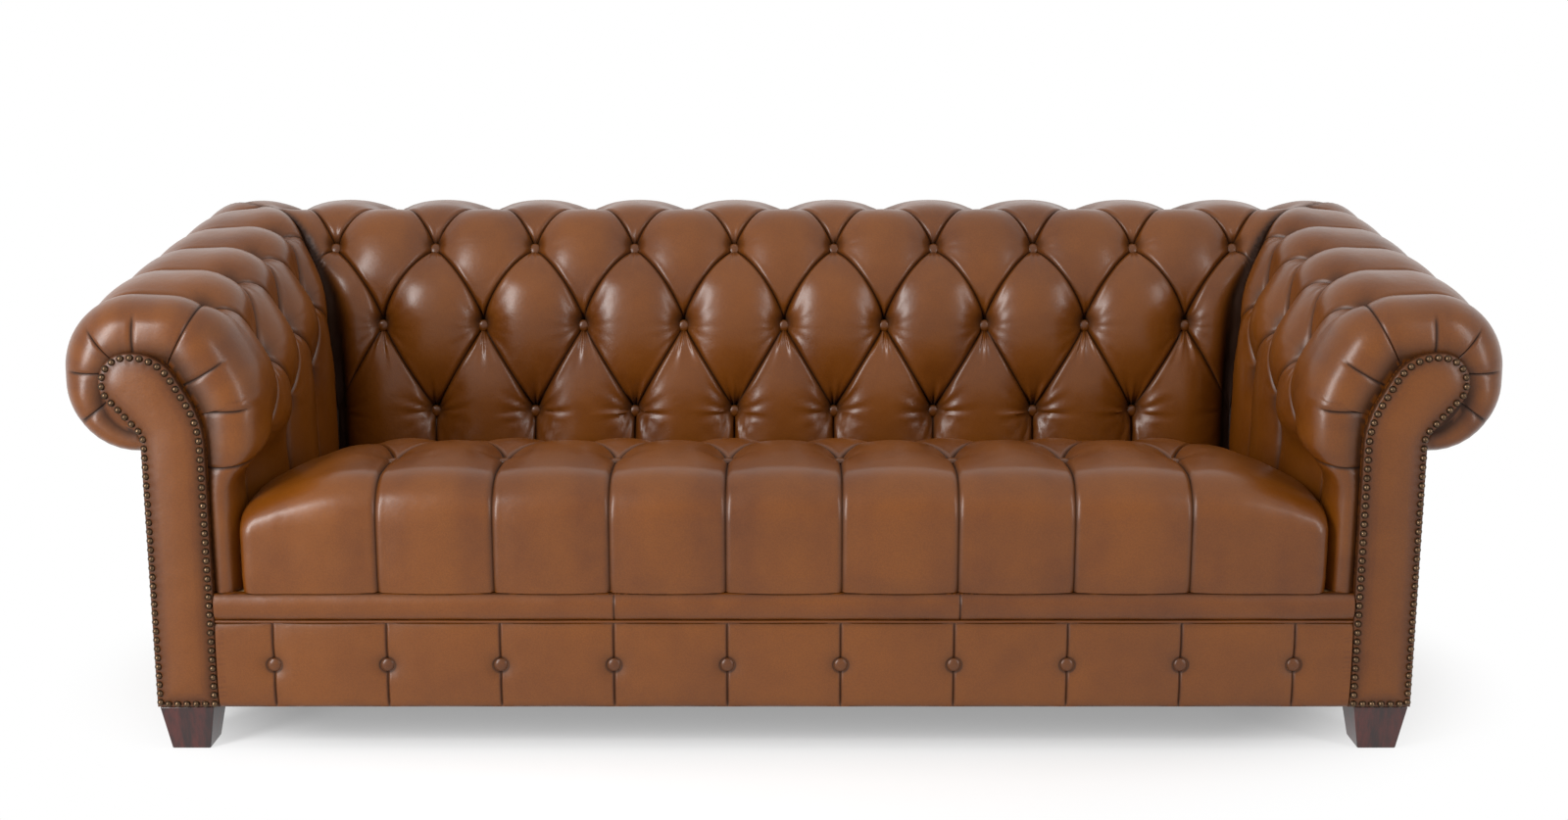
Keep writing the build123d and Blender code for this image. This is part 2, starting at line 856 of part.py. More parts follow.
def back_straps():
    low = lower_rail_height
    high = back_mid_rail_height + tack_rail_height
    space = 2 * post_in / back_strap_count
    found = []
    for index in range(back_strap_count):
        x = -post_in + space * (index + 0.5)
        found.append(block(
            x - strap_width / 2, x + strap_width / 2,
            rear_post_set - strap_thickness, rear_post_set, low, high))
    return found


def back_uprights():
    top = back_height - top_rail_foot_drop
    found = []
    for x in (-back_upright_offset, 0, back_upright_offset):
        found.append(block(
            x - upright_width / 2, x + upright_width / 2,
            rear_post_set + tack_rail_thickness, rear_frame_set, rail_top, top))
    return found


write("back_top_rail", back_top_rail())
write_pair("arm_top_rail", arm_top_rail())
write_pair("arm_upright", arm_upright())
write_pair("arm_lower_rail", tack_rails(lower_rail_height))
write_pair("arm_middle_rail", tack_rails(arm_mid_rail_height))
write("back_lower_rail", back_tack_rail(lower_rail_height))
write("back_middle_rail", back_tack_rail(back_mid_rail_height))
write("back_uprights", back_uprights())
write_pair("arm_webbing", arm_straps())
write("back_webbing", back_straps())

# Springs and their clips

spring_front_set = front_rail_back - clip_length / 2
spring_rear_set = spring_rail_set + clip_length / 2
spring_z = spring_rail_top + clip_plate + spring_wire / 2


def seat_spring():
    # A sinuous spring of square wire: bars across, joined by half turns of a few chords at alternate ends.
    reach = spring_rear_set - spring_front_set
    bars = 1 + round(reach / (2 * spring_turn_radius))
    gap = reach / (bars - 1)
    half = spring_bar / 2
    points = []
    side = 1
    for index in range(bars):
        y = front_y + spring_front_set + index * gap
        points.append((-side * half, y, spring_z))
        points.append((side * half, y, spring_z))
        if index < bars - 1:
            for chord in range(1, spring_turn_chords):
                angle = math.pi * chord / spring_turn_chords
                out = side * (half + gap / 2 * math.sin(angle))
                points.append((out, y + gap / 2 * (1 - math.cos(angle)), spring_z))
        side = -side
    path = Polyline(*points)
    start = Plane(origin=path @ 0, x_dir=(0, 0, 1), z_dir=path % 0)
    return sweep(start * Rectangle(spring_wire, spring_wire), path=path, transition=Transition.RIGHT).solid()


def spring_clip(back_set, turn):
    # A folded plate on the rail that grips the end bar of a spring.
    inside = spring_wire + soft_gap / 2
    back = front_y + back_set - turn * clip_length
    nose = front_y + back_set
    low = spring_rail_top
    high = low + 2 * clip_plate + inside
    corners = [
        (nose, low),
        (back, low),
        (back, high),
        (nose, high),
        (nose, high - clip_plate),
        (back + turn * clip_plate, high - clip_plate),
        (back + turn * clip_plate, low + clip_plate),
        (nose, low + clip_plate),
    ]
    start = Plane(origin=(-clip_width / 2, 0, 0), x_dir=(0, 1, 0), z_dir=(1, 0, 0))
    return extrude(start * make_face(Polyline(*corners, close=True)), clip_width).solid()


spring_places = [(index - (spring_count - 1) / 2) * spring_spacing for index in range(spring_count)]
one_spring = seat_spring()
clip_pair = [
    spring_clip(front_rail_back, 1),
    spring_clip(spring_rail_set, -1),
]
write("seat_springs", [Location((x, 0, 0)) * one_spring for x in spring_places])
write("spring_clips", [Location((x, 0, 0)) * clip for x in spring_places for clip in clip_pair])

# Outside panels and dust cover


def outside_arm():
    # A padded board under the roll; its top edge climbs with the arm.
    under = arm_height - roll_drop
    near = arm_front_set
    far = rear_frame_set - soft_gap
    corners = [
        (front_y + near, apron_bottom),
        (front_y + far, apron_bottom),
        (front_y + far, on_arm(far, neck_run, under)[2] - soft_gap),
        (front_y + near, on_arm(near, neck_run, under)[2] - soft_gap),
    ]
    start = Plane(origin=(-arm_inner - neck_run, 0, 0), x_dir=(0, 1, 0), z_dir=(1, 0, 0))
    return extrude(start * make_face(Polyline(*corners, close=True)), neck_run - frame_out_run).solid()


def dust_cover():
    # A cloth under the frame, held by the feet and pierced by their bolts.
    sheet = block(-post_out, post_out, apron_back_set + soft_gap, rear_frame_set, apron_bottom, foot_height)
    for set_back in (front_foot_set, rear_foot_set):
        for x in (-foot_x, foot_x):
            sheet = sheet - bolt_hole(x, set_back, apron_bottom, foot_height)
    return sheet.solid()


write_pair("outside_arm", outside_arm())
outside_half = arm_inner + neck_run
write("outside_back", block(
    -outside_half, outside_half, rear_frame_set, back_inner + neck_run,
    apron_bottom, back_height - roll_drop - soft_gap))
write("dust_cover", dust_cover())

# Feet and bolts


def foot(set_back):
    # A square foot that tapers to the floor, drilled for its bolt.
    low = Rectangle(foot_bottom, foot_bottom).wire()
    high = (Plane.XY.offset(apron_bottom) * Rectangle(foot_top, foot_top)).wire()
    solid = Location((-foot_x, front_y + set_back, 0)) * Solid.make_loft([low, high], ruled=True)
    return (solid - bolt_hole(-foot_x, set_back, bolt_low, apron_bottom)).solid()


def foot_bolt(x, set_back):
    return (Location((x, front_y + set_back, (bolt_low + bolt_high) / 2)) * Cylinder(
        bolt_radius, bolt_high - bolt_low)).solid()


write_pair("front_foot", foot(front_foot_set))
write_pair("rear_foot", foot(rear_foot_set))
bolts = [foot_bolt(x, at) for x in (-foot_x, foot_x) for at in (front_foot_set, rear_foot_set)]
write("foot_bolts", bolts)
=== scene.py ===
import json
import math

import bmesh
import bpy
import numpy as np
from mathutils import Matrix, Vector
from mathutils.geometry import delaunay_2d_cdt


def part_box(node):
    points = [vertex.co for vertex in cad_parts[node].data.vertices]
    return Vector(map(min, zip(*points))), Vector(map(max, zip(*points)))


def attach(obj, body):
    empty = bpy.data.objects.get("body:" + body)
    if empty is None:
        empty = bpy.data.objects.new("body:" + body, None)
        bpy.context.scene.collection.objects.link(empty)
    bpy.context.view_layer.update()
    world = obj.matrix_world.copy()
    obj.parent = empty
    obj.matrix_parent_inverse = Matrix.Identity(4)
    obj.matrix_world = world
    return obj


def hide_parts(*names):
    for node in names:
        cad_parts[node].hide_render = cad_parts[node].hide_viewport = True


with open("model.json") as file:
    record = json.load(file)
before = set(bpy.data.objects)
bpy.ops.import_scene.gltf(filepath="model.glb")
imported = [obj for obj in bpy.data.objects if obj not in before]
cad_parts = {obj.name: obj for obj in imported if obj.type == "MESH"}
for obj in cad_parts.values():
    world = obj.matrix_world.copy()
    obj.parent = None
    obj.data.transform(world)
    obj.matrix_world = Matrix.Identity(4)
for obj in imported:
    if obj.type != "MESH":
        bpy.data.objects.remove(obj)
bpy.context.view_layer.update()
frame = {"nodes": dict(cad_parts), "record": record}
scene = bpy.context.scene
scene.view_settings.view_transform = "Standard"

# Shapes are worked out in millimetres in the CAD's own terms and written in metres.
# A run goes outwards from the inner face of an arm or the back, a set goes back from the facings.
sofa = dict(
    armInner=820, backInner=551, frontY=-436, backY=115, backCrest=823, armCrest=732,
    padBottom=265.4, armBelly=487, tuckFrom=292, tuckRise=50, pressFrom=130, pressReach=200,
    mitreGap=0.4,
)
metre = 0.001
print("frame loaded", len(frame["nodes"]), "nodes")


def feed(node, links):
    # a socket is linked to its input, a plain value is set on it
    for name, value in links.items():
        if isinstance(value, Sock):
            value.tree.links.new(value.socket, node.inputs[name])
        else:
            node.inputs[name].default_value = value


class Sock:
    # a node socket that takes part in plain expressions
    def __init__(self, tree, socket=None):
        self.tree = tree
        self.socket = socket

    def node(self, kind, settings, links, out=0):
        made = self.tree.nodes.new(kind)
        for name, value in settings.items():
            setattr(made, name, value)
        feed(made, links)
        return Sock(self.tree, made.outputs[out])

    def maths(self, operation, first, second):
        return self.node("ShaderNodeMath", {"operation": operation}, {0: first, 1: second})

    def __add__(self, other):
        return self.maths("ADD", self, other)

    def __radd__(self, other):
        return self.maths("ADD", other, self)

    def __sub__(self, other):
        return self.maths("SUBTRACT", self, other)

    def __rsub__(self, other):
        return self.maths("SUBTRACT", other, self)

    def __mul__(self, other):
        return self.maths("MULTIPLY", self, other)

    def __rmul__(self, other):
        return self.maths("MULTIPLY", other, self)

    def blend(self, first, second):
        # this value chooses between two colours
        return self.node("ShaderNodeMix", {"data_type": "RGBA"}, {0: self, 6: first, 7: second}, 2)

    def ramp(self, low, high):
        # this value spread from 0 at low to 1 at high, eased at both ends
        eased = {"interpolation_type": "SMOOTHSTEP"}
        return self.node("ShaderNodeMapRange", eased, {0: self, 1: low, 2: high})

    def shade(self, label):
        # a value painted on the mesh
        return self.node("ShaderNodeAttribute", {"attribute_name": label}, {}, "Fac")

    def stretched(self, scale):
        return self.node("ShaderNodeMapping", {}, {"Vector": self, "Scale": scale})

    def noise(self, scale, detail, roughness=0.5):
        # cloudy values laid out by this vector
        return self.node("ShaderNodeTexNoise", {}, {
            "Vector": self, "Scale": scale, "Detail": detail, "Roughness": roughness})

    def bump(self, strength, distance, **under):
        # a normal from this height, on top of another normal if one is given
        return self.node("ShaderNodeBump", {}, {
            "Strength": strength, "Distance": distance, "Height": self, **under})


def rgb(red, green, blue):
    # a colour as it is seen on screen, turned into the shader's linear numbers
    return tuple((value / 255) ** 2.2 for value in (red, green, blue)) + (1,)


def newMaterial(name):
    # a fresh material, the object's own coordinates in it, and its shader
    material = bpy.data.materials.new(name)
    material.use_nodes = True
    tree = material.node_tree
    place = Sock(tree).node("ShaderNodeTexCoord", {}, {}, "Object")
    return material, place, tree.nodes["Principled BSDF"]


# Leather: a burnished tan hide with a fine pebbled grain; painted shade darkens it in the folds, and a
# painted highlight lightens the middles of the puffs
hide = dict(
    tan=rgb(103, 57, 15), brown=rgb(89, 48, 14), deep=rgb(16, 8, 5), paleAndLit=rgb(117, 67, 16),
    blotch=5.5, cloud=21, pebble=420, crease=95, grain=0.16, ripple=0.24,
    rough=0.33, coat=0.34, coatRough=0.25, specular=0.24,
)


def leather(name, tone=1.0, grain=1.0):
    material, place, shader = newMaterial(name)
    fold, puff = place.shade("fold"), place.shade("puff")
    blotch = place.noise(hide["blotch"], 3).ramp(0.3, 0.7)
    cloud = place.noise(hide["cloud"], 5, 0.6).ramp(0.28, 0.72)
    pebble = place.node("ShaderNodeTexVoronoi", {"feature": "SMOOTH_F1"}, {
        "Vector": place, "Scale": hide["pebble"], "Smoothness": 0.6})
    pores = place.noise(hide["pebble"] * 3.1, 2)
    creases = place.noise(hide["crease"], 6, 0.65)
    hue = blotch.blend(hide["brown"], hide["tan"])
    # random paler patches in the hide
    hue = (cloud * 0.22).blend(hue, hide["paleAndLit"])
    # painted highlight: the raised middles of puffs and panels are lighter
    hue = (puff.ramp(0.75, 1.0) * 0.25).blend(hue, hide["paleAndLit"])
    hue = (pebble.ramp(0.15, 0.75) * 0.12).blend(hue, hide["deep"])
    # painted shade: towards dark brown wherever the mesh carries painted shade
    hue = (fold * 0.92).blend(hue, hide["deep"])
    hue = place.node("ShaderNodeHueSaturation", {}, {"Value": tone, "Color": hue})
    height = pebble * -0.35 + pores * 0.15 + creases * 0.8
    grained = height.bump(hide["grain"] * grain, 0.0016)
    soft = place.noise(16, 3) + place.noise(46, 2) * 0.35
    feed(shader, {
        "Base Color": hue,
        "Roughness": hide["rough"] + cloud * 0.08 + fold * 0.3 - pores * 0.05,
        "Coat Weight": hide["coat"] - fold * hide["coat"],
        "Coat Roughness": hide["coatRough"], "Specular IOR Level": hide["specular"],
        "Normal": soft.bump(hide["ripple"], 0.006, Normal=grained),
    })
    return material


def wood(name, dark, pale, rough, scale, coat=0.0):
    # straight grain, drawn out along the axis with the smallest scale
    material, place, shader = newMaterial(name)
    drawn = place.stretched(scale)
    rings = drawn.noise(1.0, 7, 0.62)
    streaks = drawn.noise(4.2, 3, 0.7)
    hue = rings.ramp(0.32, 0.68).blend(dark, pale)
    hue = (streaks.ramp(0.5, 0.72) * 0.5).blend(hue, dark)
    feed(shader, {
        "Base Color": hue, "Roughness": rough + rings * 0.12, "Normal": streaks.bump(0.2, 0.0006),
        "Coat Weight": coat, "Coat Roughness": 0.2})
    return material


def brass(name):
    # tarnished in patches; painted shade darkens them round the rims
    material, place, shader = newMaterial(name)
    # painted shade round the foot of each nail head
    rim = place.shade("fold")
    tarnishAndShade = place.noise(190, 4, 0.6).ramp(0.35, 0.7) * 0.5 + rim * 0.7
    hue = tarnishAndShade.blend(rgb(100, 80, 62), rgb(20, 14, 11))
    feed(shader, {"Base Color": hue, "Metallic": 1.0 - rim * 0.25, "Roughness": 0.26 + tarnishAndShade * 0.22})
    return material


def steel(name):
    material, place, shader = newMaterial(name)
    drawn = place.stretched((60, 900, 900))
    lines = drawn.noise(1.0, 3)
    hue = lines.blend(rgb(120, 120, 122), rgb(168, 168, 170))
    feed(shader, {"Base Color": hue, "Metallic": 1.0, "Roughness": 0.3 + lines * 0.15})
    return material


def cloth(name, warp, weft, pitch):
    # a plain weave: two sets of threads at right angles
    material, place, shader = newMaterial(name)
    across, along = (
        place.node("ShaderNodeTexWave", {"bands_direction": axis}, {
            "Vector": place, "Scale": pitch, "Distortion": 0.4}, "Fac")
        for axis in ("X", "Y"))
    weave = across * along
    feed(shader, {
        "Base Color": weave.blend(warp, weft), "Roughness": 0.85 + weave * 0.1,
        "Normal": weave.bump(0.4, 0.0005)})
    return material


def foam(name):
    material, place, shader = newMaterial(name)
    cells = place.node("ShaderNodeTexVoronoi", {}, {"Vector": place, "Scale": 700.0})
    hue = cells.ramp(0.1, 0.6).blend(rgb(205, 188, 140), rgb(232, 222, 186))
    feed(shader, {"Base Color": hue, "Roughness": 0.9 + cells * 0.05, "Normal": cells.bump(0.5, 0.0008)})
    return material


padLeather = leather("burnishedHide")
facingLeather = leather("facingHide", 1.06)
buttonLeather = leather("buttonHide", 0.72, 0.6)
nailBrass = brass("antiqueBrass")
footWood = wood("darkMahogany", rgb(34, 11, 9), rgb(70, 24, 18), 0.3, (70, 70, 9), 0.35)
frameWood = wood("bareBeech", rgb(170, 132, 92), rgb(206, 172, 128), 0.55, (14, 50, 50))
springSteel = steel("oiledSteel")
webCloth = cloth("jute", rgb(120, 96, 66), rgb(164, 138, 100), 260)
dustCloth = cloth("blackCambric", rgb(18, 18, 19), rgb(40, 39, 40), 420)
padFoam = foam("paleFoam")
print("materials ready")


# Curves used all over: held from 0 to 1, a bell round a place, and a shade that dies away

def unit(value):
    return np.clip(value, 0, 1)


def bell(away, width):
    return np.exp(-(away / width) ** 2)


def fading(away, reach):
    return np.exp(-away / reach)


# Outlines: straight runs with rounded corners, walked by length

def roundedOutline(corners, radii, step=1.5):
    corners = [np.array(corner, float) for corner in corners]
    points = [corners[0]]
    for before, corner, after, radius in zip(corners, corners[1:], corners[2:], radii):
        inward = (before - corner) / np.linalg.norm(before - corner)
        onward = (after - corner) / np.linalg.norm(after - corner)
        opening = math.acos(np.clip(inward @ onward, -1, 1))
        reach = radius / math.tan(opening / 2)
        middle = (inward + onward) / np.linalg.norm(inward + onward)
        centre = corner + middle * radius / math.sin(opening / 2)
        start = corner + inward * reach - centre
        end = corner + onward * reach - centre
        turn = math.atan2(start[0] * end[1] - start[1] * end[0], start @ end)
        steps = max(3, int(abs(turn) * radius / step))
        for angle in np.linspace(0, turn, steps + 1):
            spin = np.array([[math.cos(angle), -math.sin(angle)], [math.sin(angle), math.cos(angle)]])
            points.append(centre + spin @ start)
    points.append(corners[-1])
    points = np.array(points)
    lengths = np.concatenate([[0], np.cumsum(np.linalg.norm(np.diff(points, axis=0), axis=1))])
    keep = np.concatenate([[True], np.diff(lengths) > 1e-6])
    points, lengths = points[keep], lengths[keep]
    even = np.linspace(0, lengths[-1], int(lengths[-1] / step) + 1)
    spots = np.stack([np.interp(even, lengths, points[:, axis]) for axis in (0, 1)], 1)
    slope = np.gradient(spots, even, axis=0)
    slope /= np.linalg.norm(slope, axis=1, keepdims=True)
    normals = np.stack([-slope[:, 1], slope[:, 0]], 1)
    return dict(s=even, spots=spots, normals=normals, length=even[-1])


def sunk(outline, s, depth):
    # run and height of points that lie below the outline
    run, z, outRun, outZ = (
        np.interp(s, outline["s"], column)
        for column in (*outline["spots"].T, *outline["normals"].T))
    return run - outRun * depth, z - outZ * depth


def rollOutline(hipRun, hipZ, bellyZ, crest):
    corners = [
        (hipRun, sofa["padBottom"]), (hipRun, hipZ), (0, bellyZ), (0, crest - 155), (88, crest),
        (325, crest), (325, crest - 250), (193, crest - 250)]
    return roundedOutline(corners, [45, 45, 190, 112, 112, 119])


def hollowCorners(crest):
    # from the tacked edge under the roll, round the timber, to the foot of the pad's wall
    under = crest - 250
    return [
        (182, under + 14), (182, under + 59), (230, under + 114), (230, crest - 100), (170, crest - 100),
        (107, crest - 180), (107, sofa["padBottom"])]


def wallRun(pad, s):
    # how far out the pad's plain outline stands at a place along it
    return np.interp(s, pad["outline"]["s"], pad["outline"]["spots"][:, 0])


# Buttoned pads: each diamond is a patch of its own, so that the pleats fall on its edges

def easedLevels(marks, counts):
    # places along an outline, closer together near each mark
    levels = [marks[0]]
    for low, high, count in zip(marks, marks[1:], counts):
        for share in np.linspace(0, 1, count + 1)[1:]:
            eased = 0.35 * share + 0.65 * (1 - math.cos(math.pi * share)) / 2
            levels.append(low + (high - low) * eased)
    return np.array(levels)


def rowPlace(pad, s):
    # row number at a place, with the bend that each row of pleats has
    rows = pad["rows"]
    found = np.zeros_like(s)
    for index, (top, bottom) in enumerate(zip(rows, rows[1:])):
        share = unit((top - s) / (top - bottom))
        found = found + 1 - (1 - share) ** pad["bend"][index]
    return found


def tailFade(pad, s):
    top, bottom = pad["rows"][0], pad["rows"][-1]
    over = fading(np.clip(s - top, 0, None), pad["topTail"][0])
    under = fading(np.clip(bottom - s, 0, None), pad["lowTail"][0])
    high = np.where(s > top, pad["topTail"][1] + (1 - pad["topTail"][1]) * over, 1)
    low = np.where(s < bottom, pad["lowTail"][1] + (1 - pad["lowTail"][1]) * under, 1)
    return high * low


def tuftHeight(pad, column, row):
    # 0 at a button, 1 in the middle of a diamond
    rising = np.abs(np.sin(np.pi * (column + row) / 2)) ** pad["softness"]
    falling = np.abs(np.sin(np.pi * (column - row) / 2)) ** pad["softness"]
    rise = pad["pleatRise"]
    return rise * (1 - (1 - rising) * (1 - falling)) + (1 - rise) * rising * falling


# Two sets of folds round each button: how far they run, how many, and what the finer set counts
gatherFolds = dict(reach=90, coarse=13, fine=23, fineShare=0.45)


def gathers(pad, column, s, corners):
    # drawn folds that spread out from each button and die away
    total = np.zeros_like(s)
    for tuftColumn, tuftRow in corners:
        dx = (column - tuftColumn) * pad["pitch"] / 2
        ds = s - pad["rows"][tuftRow]
        away = np.hypot(dx, ds)
        angle = np.arctan2(dx, ds)
        strength, peak, sideways = pad["gather"][tuftRow]
        near = away / peak * np.exp(1 - away / peak) * unit(1 - away / gatherFolds["reach"])
        upright = sideways + (1 - sideways) * np.cos(angle) ** 2
        twist = 2.4 * tuftColumn + 1.3 * tuftRow
        finer = gatherFolds["fineShare"] * np.sin(gatherFolds["fine"] * angle + 2 * twist)
        wave = np.sin(gatherFolds["coarse"] * angle + twist) + finer
        total = total + strength * near * upright * wave
    return total


# How the hide lies beside a pleat: shade in millimetres, the lip in widths of the crease, then factors
pleatLine = dict(shade=2.4, lipOut=3.2, lipWidth=1.6, slant=0.85, alive=3.5, pitStretch=1.3)


def cellPatch(pad, levels, centre, top):
    # one diamond, or an open strip beyond the first or last row, as levels by places across
    rows, across = pad["rows"], pad["across"]
    last = len(rows) - 1
    high = pad["length"] if top < 0 else rows[top]
    low = 0 if top + 2 > last else rows[top + 2]
    own = levels[(levels <= high + 1e-6) & (levels >= low - 1e-6)]
    row = rowPlace(pad, own)
    width = unit(np.minimum(row - top, top + 2 - row))
    q = np.sin(np.linspace(-1, 1, across + 1) * np.pi / 2)
    q = 0.25 * np.linspace(-1, 1, across + 1) + 0.75 * q
    column = centre + q[None, :] * width[:, None]
    s = np.repeat(own[:, None], across + 1, 1)
    fade = tailFade(pad, s)
    height = tuftHeight(pad, column, np.repeat(row[:, None], across + 1, 1))
    toPleat = (1 - np.abs(q))[None, :] * width[:, None] * pad["pitch"] / 2 * pleatLine["slant"]
    around = ((centre, top), (centre - 1, top + 1), (centre + 1, top + 1), (centre, top + 2))
    corners = [spot for spot in around if 0 <= spot[1] <= last]
    depth = pad["tuft"] * (1 - height) * fade
    crease = bell(toPleat, pad["creaseWidth"])
    lip = bell(toPleat / pad["creaseWidth"] - pleatLine["lipOut"], pleatLine["lipWidth"])
    alive = unit(fade * pleatLine["alive"])
    depth = depth + (pad["crease"] * crease - pad["lip"] * lip) * alive
    depth = depth - gathers(pad, column, s, corners)
    # painted shade along each pleat and in the pit round each button
    fold = fading(toPleat, pleatLine["shade"]) * alive
    for tuftColumn, tuftRow in corners:
        beside = (column - tuftColumn) * pad["pitch"] / 2
        above = s - rows[tuftRow] - pad["pitRise"]
        away = np.hypot(beside, above / pleatLine["pitStretch"])
        pit = bell(away, pad["pit"])
        depth = depth + pad["pitDepth"] * pit * alive
        fold = np.maximum(fold, pit)
    return dict(u=pad["first"] + column * pad["pitch"] / 2, s=s, depth=depth, fold=fold, puff=height, q=q)


def diamonds(pad, levels, centres, place):
    # every diamond of a pad, row by row, set in its place
    found = []
    for top in range(-1, len(pad["rows"]) - 1):
        for centre in centres:
            if (centre + top) % 2 == 0:
                patch = cellPatch(pad, levels, centre, top)
                grid = place(patch["u"], patch["s"], patch["depth"])
                found.append(dict(patch, grid=grid, centre=centre, top=top))
    return found


def padEdges(pad, patches, part):
    # the points along the foot and along the tacked edge of a pad
    lowest = len(pad["rows"]) - 2
    low = [patch["grid"][0][part] for patch in patches if patch["top"] == lowest]
    high = [patch["grid"][-1][part] for patch in patches if patch["top"] == -1]
    return np.concatenate(low), np.concatenate(high)


def newStore():
    return dict(verts=[], faces=[], fold=[], puff=[], pleat=[], count=0)


def addFaces(store, points, faces, **shades):
    # points and the faces between them, numbered from 0; a shade that isn't given is 0
    points = np.asarray(points, float).reshape(-1, 3)
    store["verts"].append(points)
    for name in ("fold", "puff", "pleat"):
        values = shades.get(name)
        store[name].append(np.zeros(len(points)) if values is None else values.reshape(-1))
    start = store["count"]
    store["faces"] += [tuple(start + corner for corner in face) for face in faces]
    store["count"] += len(points)


def addGrid(store, points, fold=None, puff=None, pleat=None, closed=False):
    # a sheet of four-sided faces; a closed one joins its last column to its first
    rows, columns = points.shape[:2]
    faces = []
    for near in range(0, (rows - 1) * columns, columns):
        for column in range(columns if closed else columns - 1):
            after = (column + 1) % columns
            faces.append((near + column, near + after, near + columns + after, near + columns + column))
    addFaces(store, points, faces, fold=fold, puff=puff, pleat=pleat)


def addFace(store, points):
    addFaces(store, points, [range(len(points))])


# Steeper edges than these stay sharp, on a pleat and elsewhere; nearer points than this are welded
welding = dict(onPleat=math.radians(32), elsewhere=math.radians(62), near=2e-5)


def finishPiece(name, store, material, cuts=(), flip=False):
    # weld, trim by planes with the cut closed, mark the pleats sharp, and link the object
    mesh = bpy.data.meshes.new(name)
    verts = np.concatenate(store["verts"]) * metre
    if flip:
        verts = verts * np.array([-1, 1, 1])
    mesh.from_pydata(verts.tolist(), [], store["faces"])
    mesh.update()
    work = bmesh.new()
    work.from_mesh(mesh)
    layers = {label: work.verts.layers.float.new(label) for label in ("fold", "puff", "pleat")}
    for label, layer in layers.items():
        values = np.concatenate(store[label])
        for vert, value in zip(work.verts, values):
            vert[layer] = value
    bmesh.ops.remove_doubles(work, verts=work.verts, dist=welding["near"])
    bmesh.ops.dissolve_degenerate(work, edges=work.edges, dist=1e-6)
    for point, normal in cuts:
        spot = Vector(point) * metre
        side = Vector(normal)
        if flip:
            spot.x, side.x = -spot.x, -side.x
        parts = list(work.verts) + list(work.edges) + list(work.faces)
        cut = bmesh.ops.bisect_plane(
            work, geom=parts, plane_co=spot, plane_no=side, clear_outer=True, dist=1e-6)
        edges = [item for item in cut["geom_cut"] if isinstance(item, bmesh.types.BMEdge)]
        bmesh.ops.holes_fill(work, edges=edges, sides=0)
    bmesh.ops.holes_fill(work, edges=[edge for edge in work.edges if edge.is_boundary], sides=0)
    bmesh.ops.recalc_face_normals(work, faces=work.faces)
    for face in work.faces:
        face.smooth = True
    for edge in work.edges:
        onPleat = edge.verts[0][layers["pleat"]] > 0.5 and edge.verts[1][layers["pleat"]] > 0.5
        edge.smooth = edge.calc_face_angle(0) <= welding["onPleat" if onPleat else "elsewhere"]
    work.to_mesh(mesh)
    work.free()
    mesh.attributes.remove(mesh.attributes["pleat"])
    mesh.materials.append(material)
    piece = bpy.data.objects.new(name, mesh)
    scene.collection.objects.link(piece)
    return piece


def dress(piece, node):
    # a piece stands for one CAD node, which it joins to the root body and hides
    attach(piece, "root")
    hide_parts(node)


def addPatch(store, patch, keep=-1):
    # a diamond, or the part of it at or beyond a place across
    columns = patch["q"] >= keep
    pleat = np.zeros_like(patch["s"])
    pleat[:, np.abs(patch["q"]) > 1 - 1e-9] = 1
    sheets = (patch["fold"], patch["puff"], pleat)
    addGrid(store, patch["grid"][:, columns], *(sheet[:, columns] for sheet in sheets))


# Buttons: covered domes with a tucked rim

buttonShape = dict(radius=11.6, height=8, segments=24)


def addButton(store, spot, outward, radius, height):
    spot, outward = np.array(spot, float), np.array(outward, float)
    outward = outward / np.linalg.norm(outward)
    aside = np.cross(outward, (0.31, 0.12, 0.94))
    aside = aside / np.linalg.norm(aside)
    third = np.cross(outward, aside)
    profile = [
        (0.0003, -0.35), (0.72, -0.3), (0.94, -0.05), (1.0, 0.2), (0.95, 0.45), (0.8, 0.72), (0.55, 0.9),
        (0.28, 0.98), (0.0003, 1.0)]
    turns = np.linspace(0, 2 * np.pi, buttonShape["segments"], endpoint=False)
    rings = []
    for out, up in profile:
        ring = spot + outward * up * height + radius * out * (
            np.cos(turns)[:, None] * aside + np.sin(turns)[:, None] * third)
        rings.append(ring)
    # painted shade, darkest at the foot of the button where it sinks into the leather
    shade = np.array([0.9, 0.85, 0.7, 0.45, 0.2, 0.08, 0, 0, 0])
    addGrid(store, np.array(rings), np.repeat(shade[:, None], len(turns), 1), closed=True)


def tuftButtons(pad, place, spots):
    store = newStore()
    sunkTo = pad["tuft"] + pad["pitDepth"] - pad["lift"]
    for column, row in spots:
        u = pad["first"] + column * pad["pitch"] / 2
        s = pad["rows"][row]
        low = place(np.array([u]), np.array([s]), np.array([sunkTo]))[0]
        high = place(np.array([u]), np.array([s]), np.array([0.0]))[0]
        addButton(store, low, high - low, buttonShape["radius"], buttonShape["height"])
    return store


# Seams between the pads: deep in the corners by the seat, shallow over the crest
seam = dict(levels=[280, 540], roll=[1, 0.22], shade=[14, 5], calm=45)


def seamDip(distance, reach, depth):
    # how far a pad rolls down into the seam beside it
    share = unit(1 - distance / reach)
    return depth * (1 - np.sqrt(unit(1 - share ** 2)))


def rolledIn(pad, distance, s, depth):
    # tufts flatten out towards a seam while the pad rolls down into it
    calm = 1 - 0.85 * unit(1 - distance / seam["calm"]) ** 1.5
    roll = seamDip(distance, pad["seamReach"], pad["seamDepth"])
    return depth * calm + roll * np.interp(s, seam["levels"], seam["roll"])


def shadeSeam(patch, distance):
    # painted shade down in the seam
    away = np.clip(distance(patch["u"], patch["s"]), 0, None)
    reach = np.interp(patch["s"], seam["levels"], seam["shade"])
    patch["fold"] = np.maximum(patch["fold"], 0.95 * fading(away, reach))


